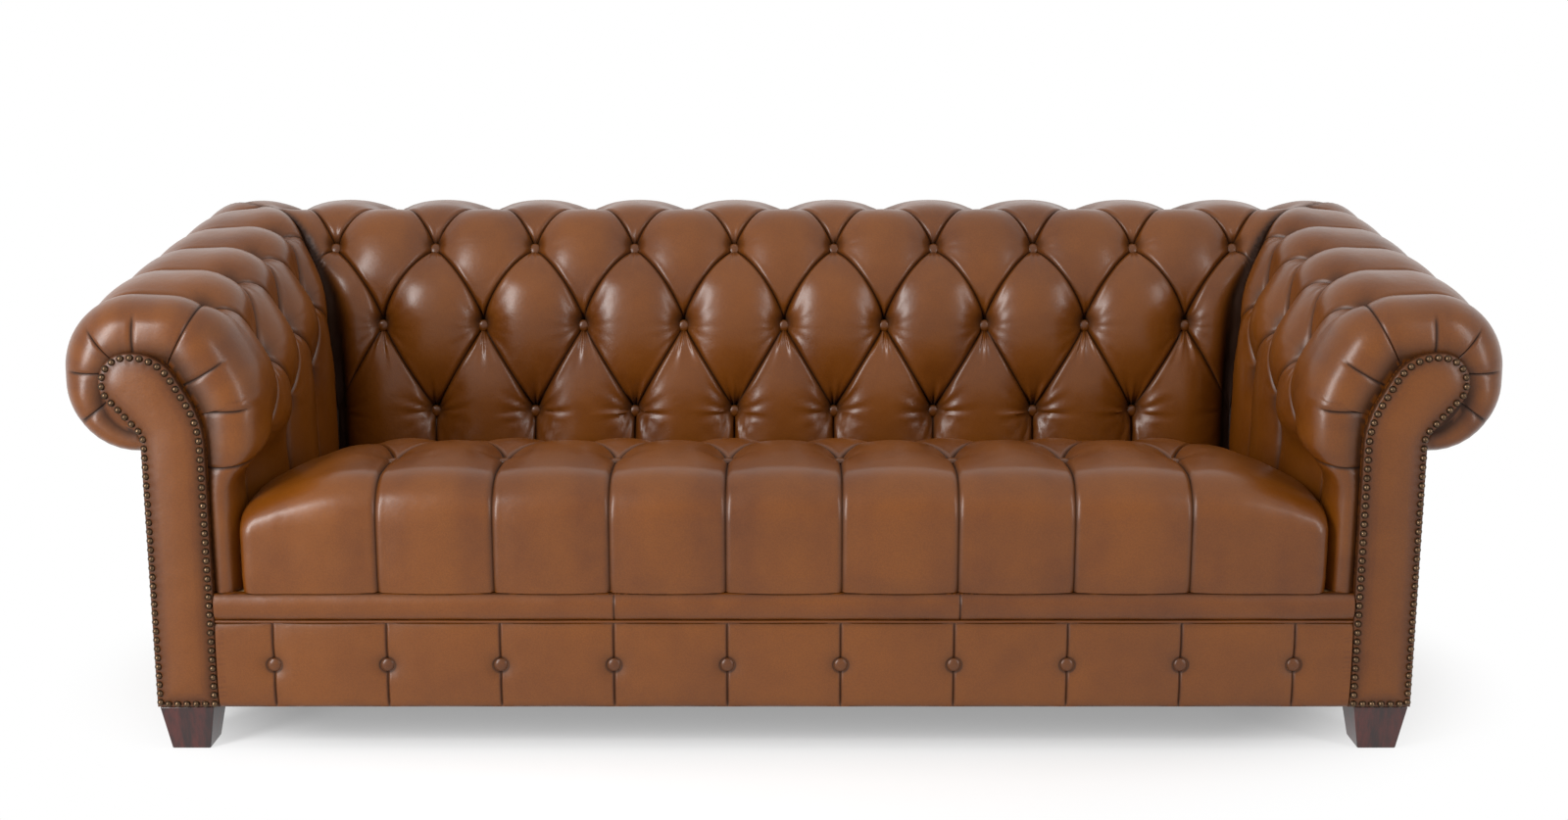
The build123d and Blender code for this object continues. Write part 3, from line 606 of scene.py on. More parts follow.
# Back cushion
backPad = dict(
    outline=rollOutline(40, 290, 337, sofa["backCrest"]), pitch=185.6, first=0,
    rows=[680, 520, 353, 192], bend=[1.42, 1.75, 1.1], tuft=40, softness=0.8, pleatRise=0.7,
    topTail=(70, 0.2), lowTail=(60, 0.35), crease=3.4, creaseWidth=2.3, lip=0.9,
    gather=[(0.5, 16, 0.3), (1.0, 18, 0.3), (2.6, 26, 0.12), (3.8, 24, 0.75)],
    pit=15, pitRise=9, pitDepth=8, lift=8, seamReach=80, seamDepth=40, across=30, fill=0.85,
)
backPad["length"] = backPad["outline"]["length"]


def backSeam(u, s):
    # distance to the seam with the nearer arm
    return sofa["armInner"] + wallRun(backPad, s) - np.abs(u)


def onBack(u, s, depth):
    run, z = sunk(backPad["outline"], s, rolledIn(backPad, backSeam(u, s), s, depth))
    return np.stack([u, sofa["backY"] + run, z], -1)


def closeBehind(store, crest, rowLow, rowHigh, place):
    # the hollow side of a pad: strips at both ends of its outline and one flat wall between
    corners = hollowCorners(crest)
    top = [rowHigh] + [place(rowHigh, *corner) for corner in corners[:-1]]
    addGrid(store, np.array(top))
    low = place(rowLow, *corners[-1])
    addGrid(store, np.array([rowLow, low]))
    addFace(store, np.concatenate([low, top[-1][::-1]]))


def buildBack():
    store = newStore()
    rows = backPad["rows"]
    levels = easedLevels([0, 110] + rows[::-1] + [backPad["length"]], [8, 10, 22, 24, 30, 20])
    patches = diamonds(backPad, levels, range(-13, 14), onBack)
    for patch in patches:
        shadeSeam(patch, backSeam)
        addPatch(store, patch)
    low, high = padEdges(backPad, patches, slice(0, -1))

    def beside(row, run, z):
        spots = row.copy()
        spots[:, 1] = sofa["backY"] + run
        spots[:, 2] = z
        return spots

    closeBehind(store, sofa["backCrest"], low, high, beside)
    edge = sofa["armInner"] - sofa["mitreGap"]
    cuts = [((side * edge, sofa["backY"], 0), (side, -1, 0)) for side in (-1, 1)]
    piece = finishPiece("backCushion", store, padLeather, cuts)
    dress(piece, "back_cushion")
    spots = []
    for row in (1, 2, 3):
        reach = 9 if row == 1 else 8
        spots += [(column, row) for column in range(-reach, reach + 1) if (column + row) % 2 == 0]
    buttons = tuftButtons(backPad, onBack, spots)
    dress(finishPiece("backButtons", buttons, buttonLeather), "back_buttons")


buildBack()
print("back cushion built")


# Arm cushions, drawn in round the facings at the front
armPad = dict(
    outline=rollOutline(46, 437, sofa["armBelly"], sofa["armCrest"]), pitch=152, first=115,
    rows=[500, 355, 212], bend=[1.3, 1.15], tuft=38, softness=0.8, pleatRise=0.68,
    topTail=(75, 0.24), lowTail=(60, 0.3), crease=3.0, creaseWidth=2.2, lip=0.8,
    gather=[(1.2, 20, 0.5), (1.4, 20, 0.4), (1.6, 22, 0.5)], pit=17, pitRise=0, pitDepth=4,
    lift=5, seamReach=60, seamDepth=26, across=24, rise=91, bellyS=240, fill=0.85,
    border=90, edge=96, neckEdge=44, bulge=20, frontSet=18.4, borderPuff=3, borderCrease=2.8,
    edgeShade=2.5, pleatWidth=2.2, pleatShade=1.6, longPleat=118, shortPleat=47, dieOut=26, pull=24,
    borderPleats=[212, 308, 404, 500, 600, 695, 790, 885], majors=[212, 500],
)
armPad["length"] = armPad["outline"]["length"]


def armPlace(u, run, z):
    # the arm climbs from the facing to the mitre with the back
    climb = armPad["rise"] * u / (sofa["backInner"] + run)
    share = unit((z - sofa["padBottom"]) / (sofa["armBelly"] - sofa["padBottom"]))
    return np.stack([-(sofa["armInner"] + run), sofa["frontY"] + u, z + climb * share], -1)


def armSeam(u, s):
    # distance to the seam with the back
    return sofa["backInner"] + wallRun(armPad, s) - u


def wallShare(setBack, z):
    # 0 by the front and at the hidden foot, 1 where arm and seat press on each other
    back = unit((setBack - sofa["pressFrom"]) / sofa["pressReach"])
    high = unit((z - sofa["tuckFrom"]) / sofa["tuckRise"])
    return back ** 2 * (3 - 2 * back) * high


def onArm(u, s, depth):
    run, z = sunk(armPad["outline"], s, rolledIn(armPad, armSeam(u, s), s, depth))
    hip = np.where(s < armPad["bellyS"], wallRun(armPad, s), 0)
    run = run - hip * wallShare(u, z)
    return armPlace(u, run, z)


def borderEdge(s):
    # the pad's front edge beside the facing: upright along the wall, then inside the roll
    outline = armPad["outline"]
    past = (s - armPad["rows"][0]) / (armPad["length"] - armPad["rows"][0])
    inset = armPad["edge"] + (armPad["neckEdge"] - armPad["edge"]) * unit(2 * past - 1)
    run, z = sunk(outline, s, inset)
    wallZ = np.interp(s, outline["s"], outline["spots"][:, 1])
    onWall = (wallZ < sofa["armCrest"] - 155) & (wallRun(armPad, s) < 88)
    return np.where(onWall, armPad["edge"], run), np.where(onWall, wallZ, z)


def borderPatch(levels, joint):
    # the rounded front of the arm, with short pleats that run to the facing; it ends on the diamonds' edge
    turns = np.linspace(0, np.pi / 2, 17)
    front = armPad["frontSet"]
    rounded = front + (armPad["border"] - front) * (1 - np.cos(turns))
    u = np.concatenate([rounded, np.linspace(armPad["border"], armPad["first"], 8)[1:]])
    turn = np.concatenate([turns, np.full(7, np.pi / 2)])
    s = np.repeat(levels[:, None], len(u), 1)
    back = armPad["first"] - u
    row = rowPlace(armPad, levels)
    onLine = (1 - tuftHeight(armPad, np.zeros_like(levels), row)) * tailFade(armPad, levels)
    depth = armPad["tuft"] * onLine[:, None] * fading(back, armPad["dieOut"])[None, :]
    marks = np.array([0] + armPad["borderPleats"] + [armPad["length"]])
    index = np.clip(np.searchsorted(marks, levels, side="right") - 1, 0, len(marks) - 2)
    share = (levels - marks[index]) / (marks[index + 1] - marks[index])
    swell = np.sin(np.pi * unit(share)) ** 0.7
    reach = unit((64 - u) / 36) * unit((u - front) / 14 + 0.35)
    depth = depth + armPad["borderPuff"] * (1 - swell)[:, None] * reach[None, :]
    beyond = (levels > armPad["rows"][0]) | (levels < armPad["rows"][-1])
    alive = unit(tailFade(armPad, levels) * pleatLine["alive"]) * beyond
    groove = bell(back, armPad["creaseWidth"])[None, :]
    depth = depth + armPad["crease"] * alive[:, None] * groove
    # painted shade along the border's pleats and beside the facing's edge
    fold = alive[:, None] * fading(back, pleatLine["shade"])[None, :]
    for place in armPad["borderPleats"]:
        stay = armPad["longPleat" if place in armPad["majors"] else "shortPleat"]
        live = unit((stay - u) / 10)[None, :]
        away = np.abs(levels - place)
        line = bell(away, armPad["pleatWidth"])[:, None]
        depth = depth + armPad["borderCrease"] * line * live
        fold = np.maximum(fold, fading(away, armPad["pleatShade"])[:, None] * live)
    fold = np.maximum(fold, 0.85 * fading(u - front, armPad["edgeShade"])[None, :])
    outRun, outZ = sunk(armPad["outline"], s, depth * np.sin(turn)[None, :])
    edgeRun, edgeZ = borderEdge(s)
    drawn = (1 - np.sin(turn))[None, :]
    run = outRun + (edgeRun - outRun) * drawn
    z = outZ + (edgeZ - outZ) * drawn
    forward = u - armPad["bulge"] * np.sin(2 * turn)
    along = np.repeat(forward[None, :], len(levels), 0) + depth * np.cos(turn)[None, :] * 0.8
    points = armPlace(along, run, z)
    pull = unit(1 - back / armPad["pull"]) ** 2
    points = points + (joint - points[:, -1])[:, None, :] * pull[None, :, None]
    pleat = np.zeros_like(s)
    pleat[beyond, -1] = 1
    for place in armPad["borderPleats"]:
        pleat[np.abs(levels - place) < 1e-6] = 1
    return points, fold, np.repeat(swell[:, None], len(u), 1), pleat


def buildArms():
    store = newStore()
    rows = armPad["rows"]
    marks = sorted([0, 100, rows[1], armPad["length"]] + armPad["borderPleats"])
    levels = easedLevels(marks, [6, 10, 12, 8, 8, 12, 12, 11, 11, 11, 8])
    joint = np.zeros((len(levels), 3))
    patches = diamonds(armPad, levels, range(12), onArm)
    for patch in patches:
        first = patch["centre"] == 0
        shadeSeam(patch, armSeam)
        addPatch(store, patch, -1e-9 if first else -1)
        if patch["centre"] < 2:
            edge = armPad["across"] // 2 if first else 0
            onJoint = np.abs(patch["u"][:, edge] - armPad["first"]) < 1e-6
            joint[np.isin(levels, patch["s"][onJoint, 0])] = patch["grid"][onJoint, edge]
    points, fold, puff, pleat = borderPatch(levels, joint)
    addGrid(store, points, fold, puff, pleat)
    low, high = padEdges(armPad, patches, slice(1, None))
    low = np.concatenate([points[0], low])
    high = np.concatenate([points[-1], high])

    def beside(row, run, z):
        along = row[:, 1] - sofa["frontY"]
        return armPlace(along, np.full(len(row), float(run)), np.full(len(row), float(z)))

    closeBehind(store, sofa["armCrest"], low, high, beside)
    corners = hollowCorners(sofa["armCrest"])
    inner = [beside(high[:1], *corner) for corner in corners[:-1]] + [beside(low[:1], *corners[-1])]
    addFace(store, np.concatenate([points[:, 0]] + inner))
    cuts = [((-sofa["armInner"], sofa["backY"] - sofa["mitreGap"], 0), (1, 1, 0))]
    spots = [(column, row) for row in (0, 1, 2) for column in range(0, 7) if (column + row) % 2 == 0]
    spots = [spot for spot in spots if not (spot[1] > 0 and spot[0] > 5)]
    buttons = tuftButtons(armPad, onArm, spots)
    for side, flip in (("left", False), ("right", True)):
        piece = finishPiece(side + "ArmCushion", store, padLeather, cuts, flip=flip)
        dress(piece, side + "_arm_cushion")
        piece = finishPiece(side + "ArmButtons", buttons, buttonLeather, flip=flip)
        dress(piece, side + "_arm_buttons")


buildArms()
print("arm cushions built")


# Seat cushion
seatPad = dict(
    outline=roundedOutline(
        [(6, 265.4), (2, 290), (2, 452), (225, 476), (540, 397), (590.6, 354)], [60, 75, 500, 40]),
    pitch=185.6, first=92.8, rows=[636, 484, 332], bend=[1.2, 1.9], tuft=30, softness=0.85, pleatRise=0.7,
    topTail=(60, 0.3), lowTail=(45, 0.22), crease=3.2, creaseWidth=2.3, lip=0.8,
    gather=[(0.5, 18, 0.4), (0.8, 20, 0.4), (0.7, 18, 0.4)], pit=13, pitRise=0, pitDepth=2,
    lift=5, across=28, fill=0.8, half=865.6, rear=590.6, crown=476, foamTop=335.4, wall=44, plainFrom=760,
    endDrop=62, endReach=225, endRound=22, endDip=12,
    plainReach=50, tuckEnd=46.4, tuckRear=14, tuckSide=680, tuckBack=450, tuckReach=140,
    freeFrom=20, freeReach=80,
)
seatPad["length"] = seatPad["outline"]["length"]


def seatEnds(u):
    # 1 beside the arms, where the tufts have faded out
    return unit((np.abs(u) - seatPad["plainFrom"]) / seatPad["plainReach"])


def onSeat(u, s, depth):
    # the crown falls towards the arms
    toEnd = seatPad["half"] - np.abs(u)
    depth = depth * (1 - seatEnds(u)) + seamDip(toEnd, seatPad["endRound"], seatPad["endDip"])
    setBack, z = sunk(seatPad["outline"], s, depth)
    end = unit(1 - toEnd / seatPad["endReach"])
    high = unit((z - seatPad["foamTop"]) / (seatPad["crown"] - seatPad["foamTop"]))
    return np.stack([u, sofa["frontY"] + setBack, z - seatPad["endDrop"] * end ** 2 * high], -1)


def tuckIn(piece):
    # above its hidden foot the seat is pressed in between the arms and the back, and fills their corners
    for vert in piece.data.vertices:
        x, y, z = (value / metre for value in vert.co)
        setBack = y - sofa["frontY"]
        side = abs(x) - seatPad["tuckSide"]
        back = setBack - seatPad["tuckBack"]
        end = unit(side / (seatPad["half"] - seatPad["tuckSide"])) ** 2
        rear = unit(back / seatPad["tuckReach"]) ** 2
        beside = unit((side - seatPad["freeFrom"]) / seatPad["freeReach"])
        free = 1 - beside * unit(back / seatPad["freeReach"])
        x -= math.copysign(seatPad["tuckEnd"] * wallShare(setBack, z) * end * free, x)
        vert.co = Vector((x, y - seatPad["tuckRear"] * rear * free, z)) * metre


def buildSeat():
    store = newStore()
    rows = seatPad["rows"]
    levels = easedLevels([0, 40, 150, 250] + rows[::-1] + [seatPad["length"]], [6, 9, 10, 14, 18, 14, 10])
    patches = diamonds(seatPad, levels, range(-13, 13), onSeat)
    for patch in patches:
        patch["fold"] = patch["fold"] * (1 - seatEnds(patch["u"]))
        addPatch(store, patch)
    low, high = padEdges(seatPad, patches, slice(0, -1))
    strip = [high]
    rear, wall, foamTop = seatPad["rear"], seatPad["wall"], seatPad["foamTop"]
    for setBack, z in ((rear, foamTop), (wall, foamTop), (wall, sofa["padBottom"])):
        line = high.copy()
        line[:, 1] = sofa["frontY"] + setBack
        line[:, 2] = z
        strip.append(line)
    strip.append(low)
    addGrid(store, np.array(strip))
    cuts = [((side * seatPad["half"], 0, 0), (side, 0, 0)) for side in (-1, 1)]
    piece = finishPiece("seatCushion", store, padLeather, cuts)
    tuckIn(piece)
    dress(piece, "seat_cushion")
    spots = [(column, 2) for column in range(-8, 7, 2)] + [(column, 1) for column in range(-9, 8, 2)]
    buttons = tuftButtons(seatPad, onSeat, spots)
    dress(finishPiece("seatButtons", buttons, buttonLeather), "seat_buttons")


buildSeat()
print("seat cushion built")


# Front apron: strips between the facings, with flat backs
apron = dict(half=911.6, back=22)


def apronX(marks, spread):
    # places across, closer together at the pleats or seams
    places = set(np.linspace(-apron["half"], apron["half"], spread))
    for mark in marks:
        for away in (0, 0.8, 1.6, 2.6, 4, 6, 9, 11, 13, 15, 19, 28):
            places |= {mark - away, mark + away}
    return np.array(sorted(place for place in places if abs(place) <= apron["half"]))


def closeFlat(store, face, flat):
    # four narrow sides and a flat back behind a padded face
    for edge in (0, -1):
        addGrid(store, np.array([face[edge], flat[edge]]))
        addGrid(store, np.array([face[:, edge], flat[:, edge]]))
    addFace(store, np.concatenate([flat[0], flat[1:, -1], flat[-1][::-1][1:], flat[1:-1, 0][::-1]]))


def apronPiece(name, node, face, fold, puff, pleat):
    # a padded strip along the front with a flat back
    store = newStore()
    addGrid(store, face, fold, puff, pleat)
    flat = face.copy()
    flat[:, :, 1] = sofa["frontY"] + apron["back"]
    closeFlat(store, face, flat)
    dress(finishPiece(name, store, padLeather), node)


# Front panel: one row of buttons, each on a pleat from hem to hem
panel = dict(
    bottom=75, top=217, setBack=9, pitch=182.4, count=10, fill=0.7,
    crown=4.2, swell=4.0, swellReach=34, dimple=5.5, dimpleReach=20, hem=3,
    pleat=2.6, pleatWidth=2.0, pleatShade=1.7,
    buttonRadius=11.6, buttonHeight=6.5, buttonSet=11.5, ringWidth=2.2,
)


def buildPanel():
    bottom, top, count = panel["bottom"], panel["top"], panel["count"]
    tufts = [(index - (count - 1) / 2) * panel["pitch"] for index in range(count)]
    across = apronX(tufts, 120)
    middle = (bottom + top) / 2
    up = np.concatenate([
        np.linspace(bottom, middle - 16, 20), np.linspace(middle - 14, middle + 14, 15),
        np.linspace(middle + 16, top, 20)])
    z, x = np.meshgrid(up, across, indexing="ij")
    away = np.min([np.abs(x - tuft) for tuft in tufts], axis=0)
    share = (z - bottom) / (top - bottom)
    crown = panel["crown"] * (1 - np.abs(2 * share - 1) ** 3.2)
    button = np.hypot(away, z - middle)
    swell = panel["swell"] * (1 - np.exp(-(away / panel["swellReach"]) ** 1.3))
    pleat = bell(away, panel["pleatWidth"])
    dimple = panel["dimple"] * bell(button, panel["dimpleReach"])
    hem = fading(z - bottom, panel["hem"]) + fading(top - z, panel["hem"])
    setBack = panel["setBack"] - crown - (swell - panel["pleat"] * pleat) * (1 - hem) + dimple
    # painted shade along the pleats, round the buttons and at the hems, with a painted dark line round each
    # button; the rest counts as puff and takes the painted highlight
    fold = np.maximum(fading(away, panel["pleatShade"]), 0.7 * bell(button, 15))
    ring = bell(button - panel["buttonRadius"] - 1, panel["ringWidth"])  # a dark line round each button
    fold = np.maximum(fold, np.maximum(0.6 * unit(hem), 0.9 * ring))
    face = np.stack([x, sofa["frontY"] + setBack, z], -1)
    apronPiece("frontPanel", "front_panel", face, fold, 1 - pleat, (away < 1e-6) * 1.0)
    buttons = newStore()
    for tuft in tufts:
        spot = (tuft, sofa["frontY"] + panel["buttonSet"], middle)
        addButton(buttons, spot, (0, -1, 0), panel["buttonRadius"], panel["buttonHeight"])
    piece = finishPiece("frontPanelButtons", buttons, buttonLeather)
    dress(piece, "front_panel_buttons")


# Front band: softly rounded, sewn together in two places
band = dict(
    low=221, top=265, setBack=9, seams=(-272, 282), fill=0.8,
    stitch=1.6, stitchWidth=1.4, stitchShade=1.6, edge=0.05,
)


def buildBand():
    across = apronX(band["seams"], 160)
    turn = np.linspace(0, 1, 25)
    up = band["low"] + turn * (band["top"] - band["low"])
    z, x = np.meshgrid(up, across, indexing="ij")
    share = np.repeat(turn[:, None], len(across), 1)
    toSeam = np.min([np.abs(x - mark) for mark in band["seams"]], axis=0)
    setBack = band["setBack"] * np.abs(2 * share - 1) ** 2.6
    setBack = setBack + band["stitch"] * bell(toSeam, band["stitchWidth"])
    setBack = setBack + 0.5 * np.sin(x / 41) * np.sin(np.pi * share) + 0.35 * np.sin(x / 17.3 + 1)
    # painted shade along the seams and at the top and bottom edges
    edges = fading(share, band["edge"]) + fading(1 - share, band["edge"])
    fold = np.maximum(fading(toSeam, band["stitchShade"]), 0.8 * unit(edges))
    face = np.stack([x, sofa["frontY"] + setBack, z], -1)
    apronPiece("frontBand", "front_band", face, fold, np.full_like(share, 0.7), None)


# Front welt: a thin piping that sways a little
welt = dict(setBack=7.6, z=219, deep=2.4, high=2.3, sides=14, steps=140)


def buildWelt():
    turns = np.linspace(0, 2 * np.pi, welt["sides"], endpoint=False)
    turn, x = np.meshgrid(turns, np.linspace(-apron["half"], apron["half"], welt["steps"]))
    sway = 0.15 * np.sin(x / 53) + 0.09 * np.sin(x / 19)
    y = sofa["frontY"] + welt["setBack"] + welt["deep"] * np.cos(turn)
    rings = np.stack([x, y, welt["z"] + sway + welt["high"] * np.sin(turn)], -1)
    store = newStore()
    # painted shade: darker all round, most on the back of the piping
    addGrid(store, rings, 0.35 + 0.3 * np.cos(turn), np.full_like(x, 0.5), closed=True)
    addFace(store, rings[0][::-1])
    addFace(store, rings[-1])
    dress(finishPiece("frontWelt", store, padLeather), "front_welt")


buildPanel()
buildBand()
buildWelt()
print("front apron built")


# Arm facings: padded scroll panels edged with domed nails
facing = dict(
    corners=[(92, 75), (92, 545), (155, 656), (253, 656), (253, 590), (193, 522), (193, 75)],
    radii=[150, 75, 48, 40, 25], thick=18, spacing=7, fill=0.7, rings=(0, 1.2, 3, 5.5, 9, 13), fieldFrom=17,
    faceSet=2.2, edgeReach=5, edgeDepth=6.5, puff=7.5, puffFrom=8, puffReach=15,
    nailInset=7, nailPitch=15, nailRadius=5.8, nailTall=6, nailSet=2.6, dent=1.4, dentWidth=7,
)


def facingLoop(inset):
    # the scroll's edge, from the foot of its inner side round to the foot of its outer side
    outline = roundedOutline(facing["corners"], facing["radii"], 3)
    run, z = sunk(outline, outline["s"], inset)
    z = np.maximum(z, facing["corners"][0][1] + inset)
    return np.stack([run, z], 1)


def nailSpots():
    line = facingLoop(facing["nailInset"])
    line = np.concatenate([line, line[:1]])
    lengths = np.concatenate([[0], np.cumsum(np.linalg.norm(np.diff(line, axis=0), axis=1))])
    count = round(lengths[-1] / facing["nailPitch"])
    even = np.linspace(0, lengths[-1], count, endpoint=False)
    return np.stack([np.interp(even, lengths, line[:, axis]) for axis in (0, 1)], 1)


def distanceTo(points, loop):
    # shortest distance from each point to a closed line
    ends = np.roll(loop, -1, axis=0)
    along = ends - loop
    size = np.maximum((along ** 2).sum(1), 1e-9)
    share = unit(((points[:, None] - loop[None]) * along[None]).sum(2) / size[None])
    nearest = loop[None] + share[..., None] * along[None]
    return np.linalg.norm(points[:, None] - nearest, axis=2).min(1)


def insideOf(points, loop):
    ends = np.roll(loop, -1, axis=0)
    x, y = points[:, 0][:, None], points[:, 1][:, None]
    crosses = (loop[None, :, 1] > y) != (ends[None, :, 1] > y)
    rise = np.where(np.abs(ends[:, 1] - loop[:, 1]) < 1e-9, 1e-9, ends[:, 1] - loop[:, 1])
    at = loop[None, :, 0] + (y - loop[None, :, 1]) / rise[None] * (ends[:, 0] - loop[:, 0])[None]
    return (crosses & (x < at)).sum(1) % 2 == 1


def facingFace(spots, outer, nails):
    # how far the padded face stands back at each spot, and how far each spot is from the edge
    depth = distanceTo(spots, outer)
    nailed = np.min(np.linalg.norm(spots[:, None] - nails[None], axis=2), axis=1)
    setBack = facing["faceSet"] + seamDip(depth, facing["edgeReach"], facing["edgeDepth"])
    past = np.clip(depth - facing["puffFrom"], 0, None)
    setBack = setBack - facing["puff"] * (1 - fading(past, facing["puffReach"]))
    return setBack + facing["dent"] * bell(nailed, facing["dentWidth"]), depth


def onFacing(spots, setBack):
    return np.stack([-(sofa["armInner"] + spots[:, 0]), sofa["frontY"] + setBack, spots[:, 1]], 1)


def buildFacings():
    outer = facingLoop(0)
    nails = nailSpots()
    rings = [facingLoop(inset) for inset in facing["rings"]]
    low, high = np.min(facing["corners"], axis=0), np.max(facing["corners"], axis=0) + 1
    across, up = (np.arange(low[axis], high[axis], facing["spacing"]) for axis in (0, 1))
    field = np.stack(np.meshgrid(across, up), -1).reshape(-1, 2)
    field = field[insideOf(field, outer)]
    field = field[distanceTo(field, outer) > facing["fieldFrom"]]
    points, edges = [], []
    for ring in rings:
        start = len(points)
        points += [Vector(spot) for spot in ring]
        edges += [(start + index, start + (index + 1) % len(ring)) for index in range(len(ring))]
    points += [Vector(spot) for spot in field]
    flat, _, faces, _, _, _ = delaunay_2d_cdt(points, edges, [], 1, 1e-4)
    spots = np.array([(spot.x, spot.y) for spot in flat])
    setBack, depth = facingFace(spots, outer, nails)
    # painted shade at the edge, just inside the nails and fading in from the edge, so the middle is
    # lighter; the middle also takes the painted highlight
    fold = np.maximum(0.5 * bell(depth - 11, 8), 0.85 * fading(depth, 3))
    fold = np.maximum(fold, 0.4 * fading(depth, 26))
    store = newStore()
    addFaces(store, onFacing(spots, setBack), faces, fold=fold, puff=unit(depth / 30))
    rim = onFacing(outer, facingFace(outer, outer, nails)[0])
    back = rim.copy()
    back[:, 1] = sofa["frontY"] + facing["thick"]
    # painted shade on the facing's narrow side
    addGrid(store, np.array([rim, back]), np.full((2, len(rim)), 0.8), closed=True)
    addFace(store, back)
    heads = newStore()
    for spot in onFacing(nails, np.full(len(nails), facing["nailSet"])):
        addNail(heads, spot)
    for side, flip in (("left", False), ("right", True)):
        piece = finishPiece(side + "ArmFacing", store, facingLeather, flip=flip)
        dress(piece, side + "_arm_facing")
        piece = finishPiece(side + "FacingNails", heads, nailBrass, flip=flip)
        dress(piece, side + "_facing_nails")


def addNail(store, spot):
    turns = np.linspace(0, 2 * np.pi, 18, endpoint=False)
    rings, shade = [], []
    # the last number of each step is painted shade, darkest round the foot of the nail head
    profile = [
        (0, 0.98, 1), (0.1, 1.0, 0.9), (0.35, 0.9, 0.5),
        (0.62, 0.7, 0.2), (0.86, 0.42, 0), (1.0, 0.0003, 0)]
    for lift, out, dark in profile:
        radius = facing["nailRadius"] * out
        forward = np.full(len(turns), spot[1] - lift * facing["nailTall"])
        ring = (spot[0] + radius * np.cos(turns), forward, spot[2] + radius * np.sin(turns))
        rings.append(np.stack(ring, 1))
        shade.append(np.full(len(turns), dark))
    addGrid(store, np.array(rings), np.array(shade), closed=True)
    addFace(store, rings[0][::-1])


buildFacings()
print("facings and nails built")


# Outside panels: leather over board, softly padded, with a hem at every edge
outside = dict(
    pad=3.2, hem=10, spacing=22, thick=10, bottom=75, neckRun=193, neckZ=482, neckGap=0.6,
    dropReach=4, drop=2.5, shade=5, fill=0.5,
)


def paddedBoard(name, node, corners, inward):
    # a four-cornered panel given by its outer face, filled between its edges
    low0, low1, high1, high0 = (np.array(corner, float) for corner in corners)
    inward = np.array(inward, float)
    width, height = np.linalg.norm(low1 - low0), np.linalg.norm(high0 - low0)
    counts = [max(12, int(size / outside["spacing"])) for size in (width, height)]
    steps = [np.linspace(0, 1, count + 1) for count in counts]
    a, b = np.meshgrid(*(((1 - np.cos(np.pi * step)) / 2 + step) / 2 for step in steps))
    a, b = a[..., None], b[..., None]
    face = (low0 * (1 - a) + low1 * a) * (1 - b) + (high0 * (1 - a) + high1 * a) * b
    away = np.minimum(np.minimum(a, 1 - a) * width, np.minimum(b, 1 - b) * height)
    swell = outside["pad"] * (1 - fading(away, outside["hem"]))
    drop = unit(1 - away / outside["dropReach"]) ** 2 * outside["drop"]
    shown = face - inward * (swell - drop)
    store = newStore()
    # painted shade along the hem at every edge; the middle counts as puff and takes the painted highlight
    hem = fading(away[..., 0], outside["shade"])
    addGrid(store, shown, 0.7 * hem, 1 - hem)
    closeFlat(store, shown, face + inward * outside["thick"])
    dress(finishPiece(name, store, padLeather), node)


def buildOutside():
    bottom = outside["bottom"]
    for side, sign in (("left", -1), ("right", 1)):
        node = side + "_outside_arm"
        low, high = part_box(node)
        x = (low.x if sign < 0 else high.x) / metre
        front, rear = low.y / metre, high.y / metre
        ends = np.array([front, rear]) - sofa["frontY"]
        neck = armPlace(ends, np.full(2, outside["neckRun"]), np.full(2, outside["neckZ"]))
        tops = neck[:, 2] - outside["neckGap"]
        corners = [(x, front, bottom), (x, rear, bottom), (x, rear, tops[1]), (x, front, tops[0])]
        paddedBoard(side + "OutsideArm", node, corners, (-sign, 0, 0))
    low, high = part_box("outside_back")
    x0, x1, y, top = low.x / metre, high.x / metre, high.y / metre, high.z / metre
    corners = [(x0, y, bottom), (x1, y, bottom), (x1, y, top), (x0, y, top)]
    paddedBoard("outsideBack", "outside_back", corners, (0, -1, 0))


buildOutside()
print("outside panels built")


# Feet: tapered blocks with eased edges
footShape = dict(ease=2.2, taper=62 / 87)


def buildFeet():
    for side in ("left", "right"):
        for end in ("front", "rear"):
            node = side + "_" + end + "_foot"
            low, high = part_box(node)
            middle = (low + high) / 2
            top = (high.x - low.x) / 2
            foot = top * footShape["taper"]
            mesh = bpy.data.meshes.new(node)
            work = bmesh.new()
            bmesh.ops.create_cube(work, size=1)
            for vert in work.verts:
                reach = top if vert.co.z > 0 else foot
                z = high.z if vert.co.z > 0 else low.z
                x = middle.x + math.copysign(reach, vert.co.x)
                y = middle.y + math.copysign(reach, vert.co.y)
                vert.co = (x, y, z)
            bmesh.ops.bevel(
                work, geom=list(work.edges), offset=footShape["ease"] * metre, segments=3, profile=0.5,
                affect="EDGES")
            for face in work.faces:
                face.smooth = len(face.verts) > 4 or face.calc_area() < 4e-4
            work.to_mesh(mesh)
            work.free()
            mesh.materials.append(footWood)
            piece = bpy.data.objects.new(side + end.capitalize() + "Foot", mesh)
            scene.collection.objects.link(piece)
            dress(piece, node)


buildFeet()
print("feet built")


# Timber, springs and cloth inside keep their CAD shapes and take finished materials
def dressInside():
    slots = {"frame_timber": frameWood, "spring_steel": springSteel, "cloth": webCloth, "foam": padFoam}
    own = {"dust_cover": dustCloth}
    for part in frame["record"]["subparts"]:
        node, slot = part["node"], part["material_slot"]
        if slot in slots:
            mesh = frame["nodes"][node].data
            mesh.materials.clear()
            mesh.materials.append(own.get(node, slots[slot]))


dressInside()
print("inside dressed")


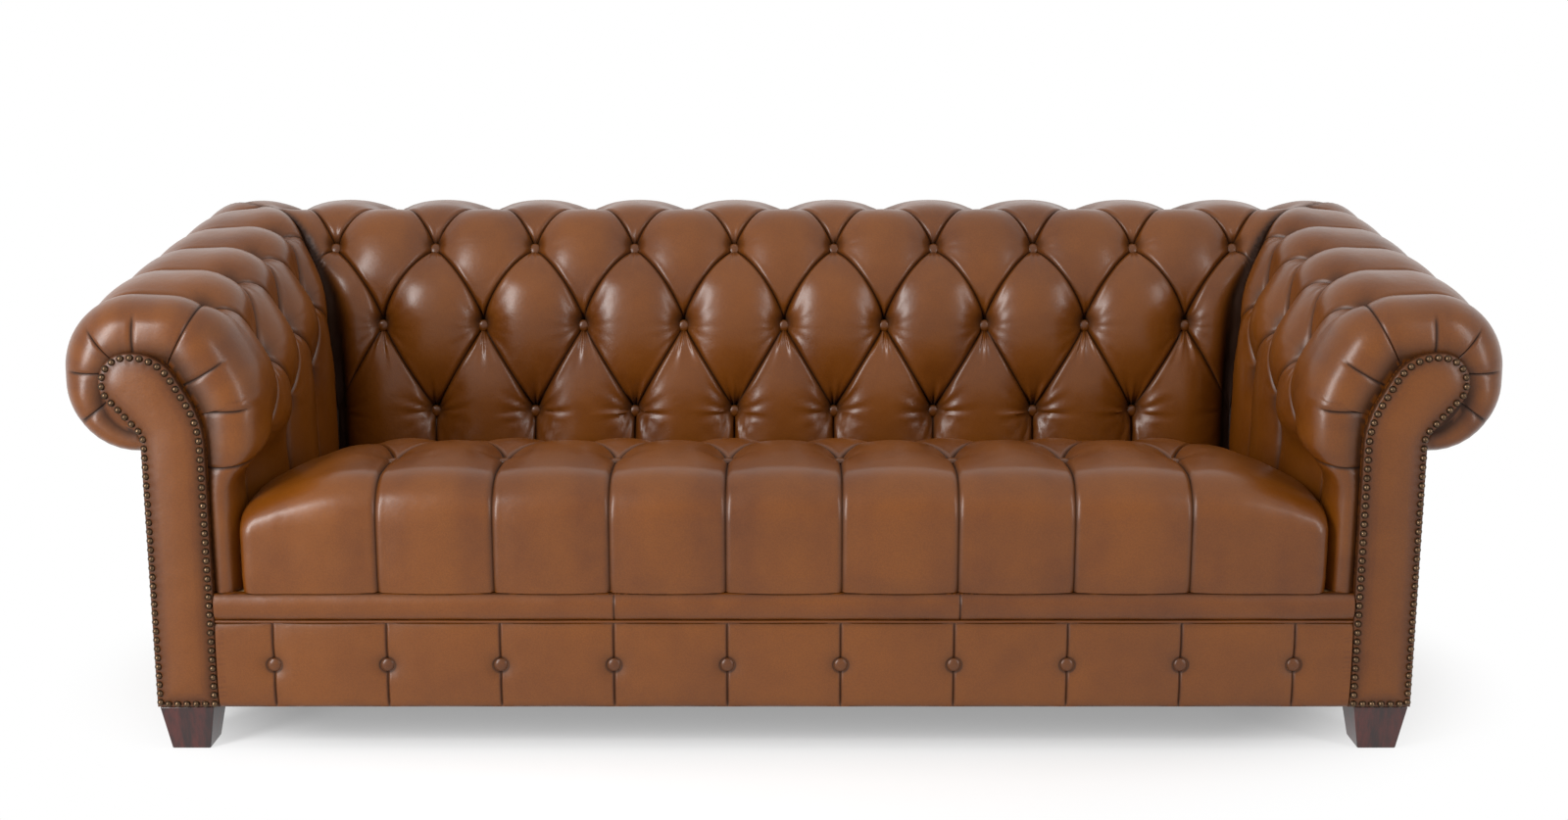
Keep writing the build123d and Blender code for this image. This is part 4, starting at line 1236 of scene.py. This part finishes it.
# Studio: pale floor, soft lamps and the camera of the photograph
studio = dict(
    lens=45, pitch=11.5, camera=(0, -3.440, 1.178),
    lamps=[
        ("leftBox", (-2.6, -2.6, 1.6), (0, 0, 0.5), (0.85, 2.9), 130),
        ("rightBox", (2.9, -2.4, 1.6), (0, 0, 0.5), (0.6, 2.7), 36),
        ("topBox", (0, -0.9, 3.1), (0, 0, 0.3), (4.4, 3.2), 52),
    ],
    ambient=0.4, unseen="topBox", floorSpan=9, shadowReach=(0.66, 1.0), shadowShape=(0.75, 1.15, 1.0),
)


def backdropRays(base):
    # camera rays and the reflections that show the same backdrop
    camera, glossy, through = (
        base.node("ShaderNodeLightPath", {}, {}, ray)
        for ray in ("Is Camera Ray", "Is Glossy Ray", "Is Transmission Ray"))
    return camera + glossy + through


def placeLamps():
    for name, spot, aim, size, power in studio["lamps"]:
        lamp = bpy.data.lights.new(name, "AREA")
        lamp.shape = "RECTANGLE"
        lamp.size, lamp.size_y = size
        lamp.energy = power
        holder = bpy.data.objects.new(name, lamp)
        holder.location = spot
        holder.visible_glossy = name != studio["unseen"]
        holder.rotation_euler = (Vector(aim) - Vector(spot)).to_track_quat("-Z", "Y").to_euler()
        scene.collection.objects.link(holder)


def buildBackdrop():
    world = bpy.data.worlds.new("studio")
    world.use_nodes = True
    scene.world = world
    tree = world.node_tree
    base = Sock(tree)
    light = tree.nodes["Background"]
    light.inputs["Color"].default_value = (1, 0.985, 0.97, 1)
    light.inputs["Strength"].default_value = studio["ambient"]
    white = base.node("ShaderNodeBackground", {}, {"Color": (1, 1, 1, 1), "Strength": 1.0})
    mixed = base.node("ShaderNodeMixShader", {}, {
        0: backdropRays(base), 1: Sock(tree, light.outputs[0]), 2: white})
    tree.links.new(mixed.socket, tree.nodes["World Output"].inputs["Surface"])


def buildFloor():
    # pale near the sofa, where it takes the shadow, and as white as the backdrop further out
    span = studio["floorSpan"]
    mesh = bpy.data.meshes.new("floor")
    corners = [(-span, -span, 0), (span, -span, 0), (span, span, 0), (-span, span, 0)]
    mesh.from_pydata(corners, [], [(0, 1, 2, 3)])
    floor = bpy.data.objects.new("floor", mesh)
    scene.collection.objects.link(floor)
    material, place, shader = newMaterial("paleFloor")
    tree = place.tree
    drawn = place.stretched(studio["shadowShape"])
    away = place.node("ShaderNodeVectorMath", {"operation": "LENGTH"}, {0: drawn}, "Value")
    glow = place.node("ShaderNodeEmission", {}, {"Color": (1, 1, 1, 1), "Strength": 1.0})
    feed(shader, {"Base Color": (0.9, 0.9, 0.9, 1), "Roughness": 0.75, "Specular IOR Level": 0.2})
    white = 0.3 + away.ramp(*studio["shadowReach"]) * 0.7
    mixed = place.node("ShaderNodeMixShader", {}, {
        0: white * backdropRays(place), 1: Sock(tree, shader.outputs[0]), 2: glow})
    tree.links.new(mixed.socket, tree.nodes["Material Output"].inputs["Surface"])
    mesh.materials.append(material)


def placeCamera():
    camera = bpy.data.cameras.new("camera")
    camera.lens = studio["lens"]
    camera.sensor_width = 36
    holder = bpy.data.objects.new("camera", camera)
    holder.location = studio["camera"]
    holder.rotation_euler = (math.radians(90 - studio["pitch"]), 0, 0)
    scene.collection.objects.link(holder)
    scene.camera = holder


placeLamps()
buildBackdrop()
buildFloor()
placeCamera()
print("studio ready")
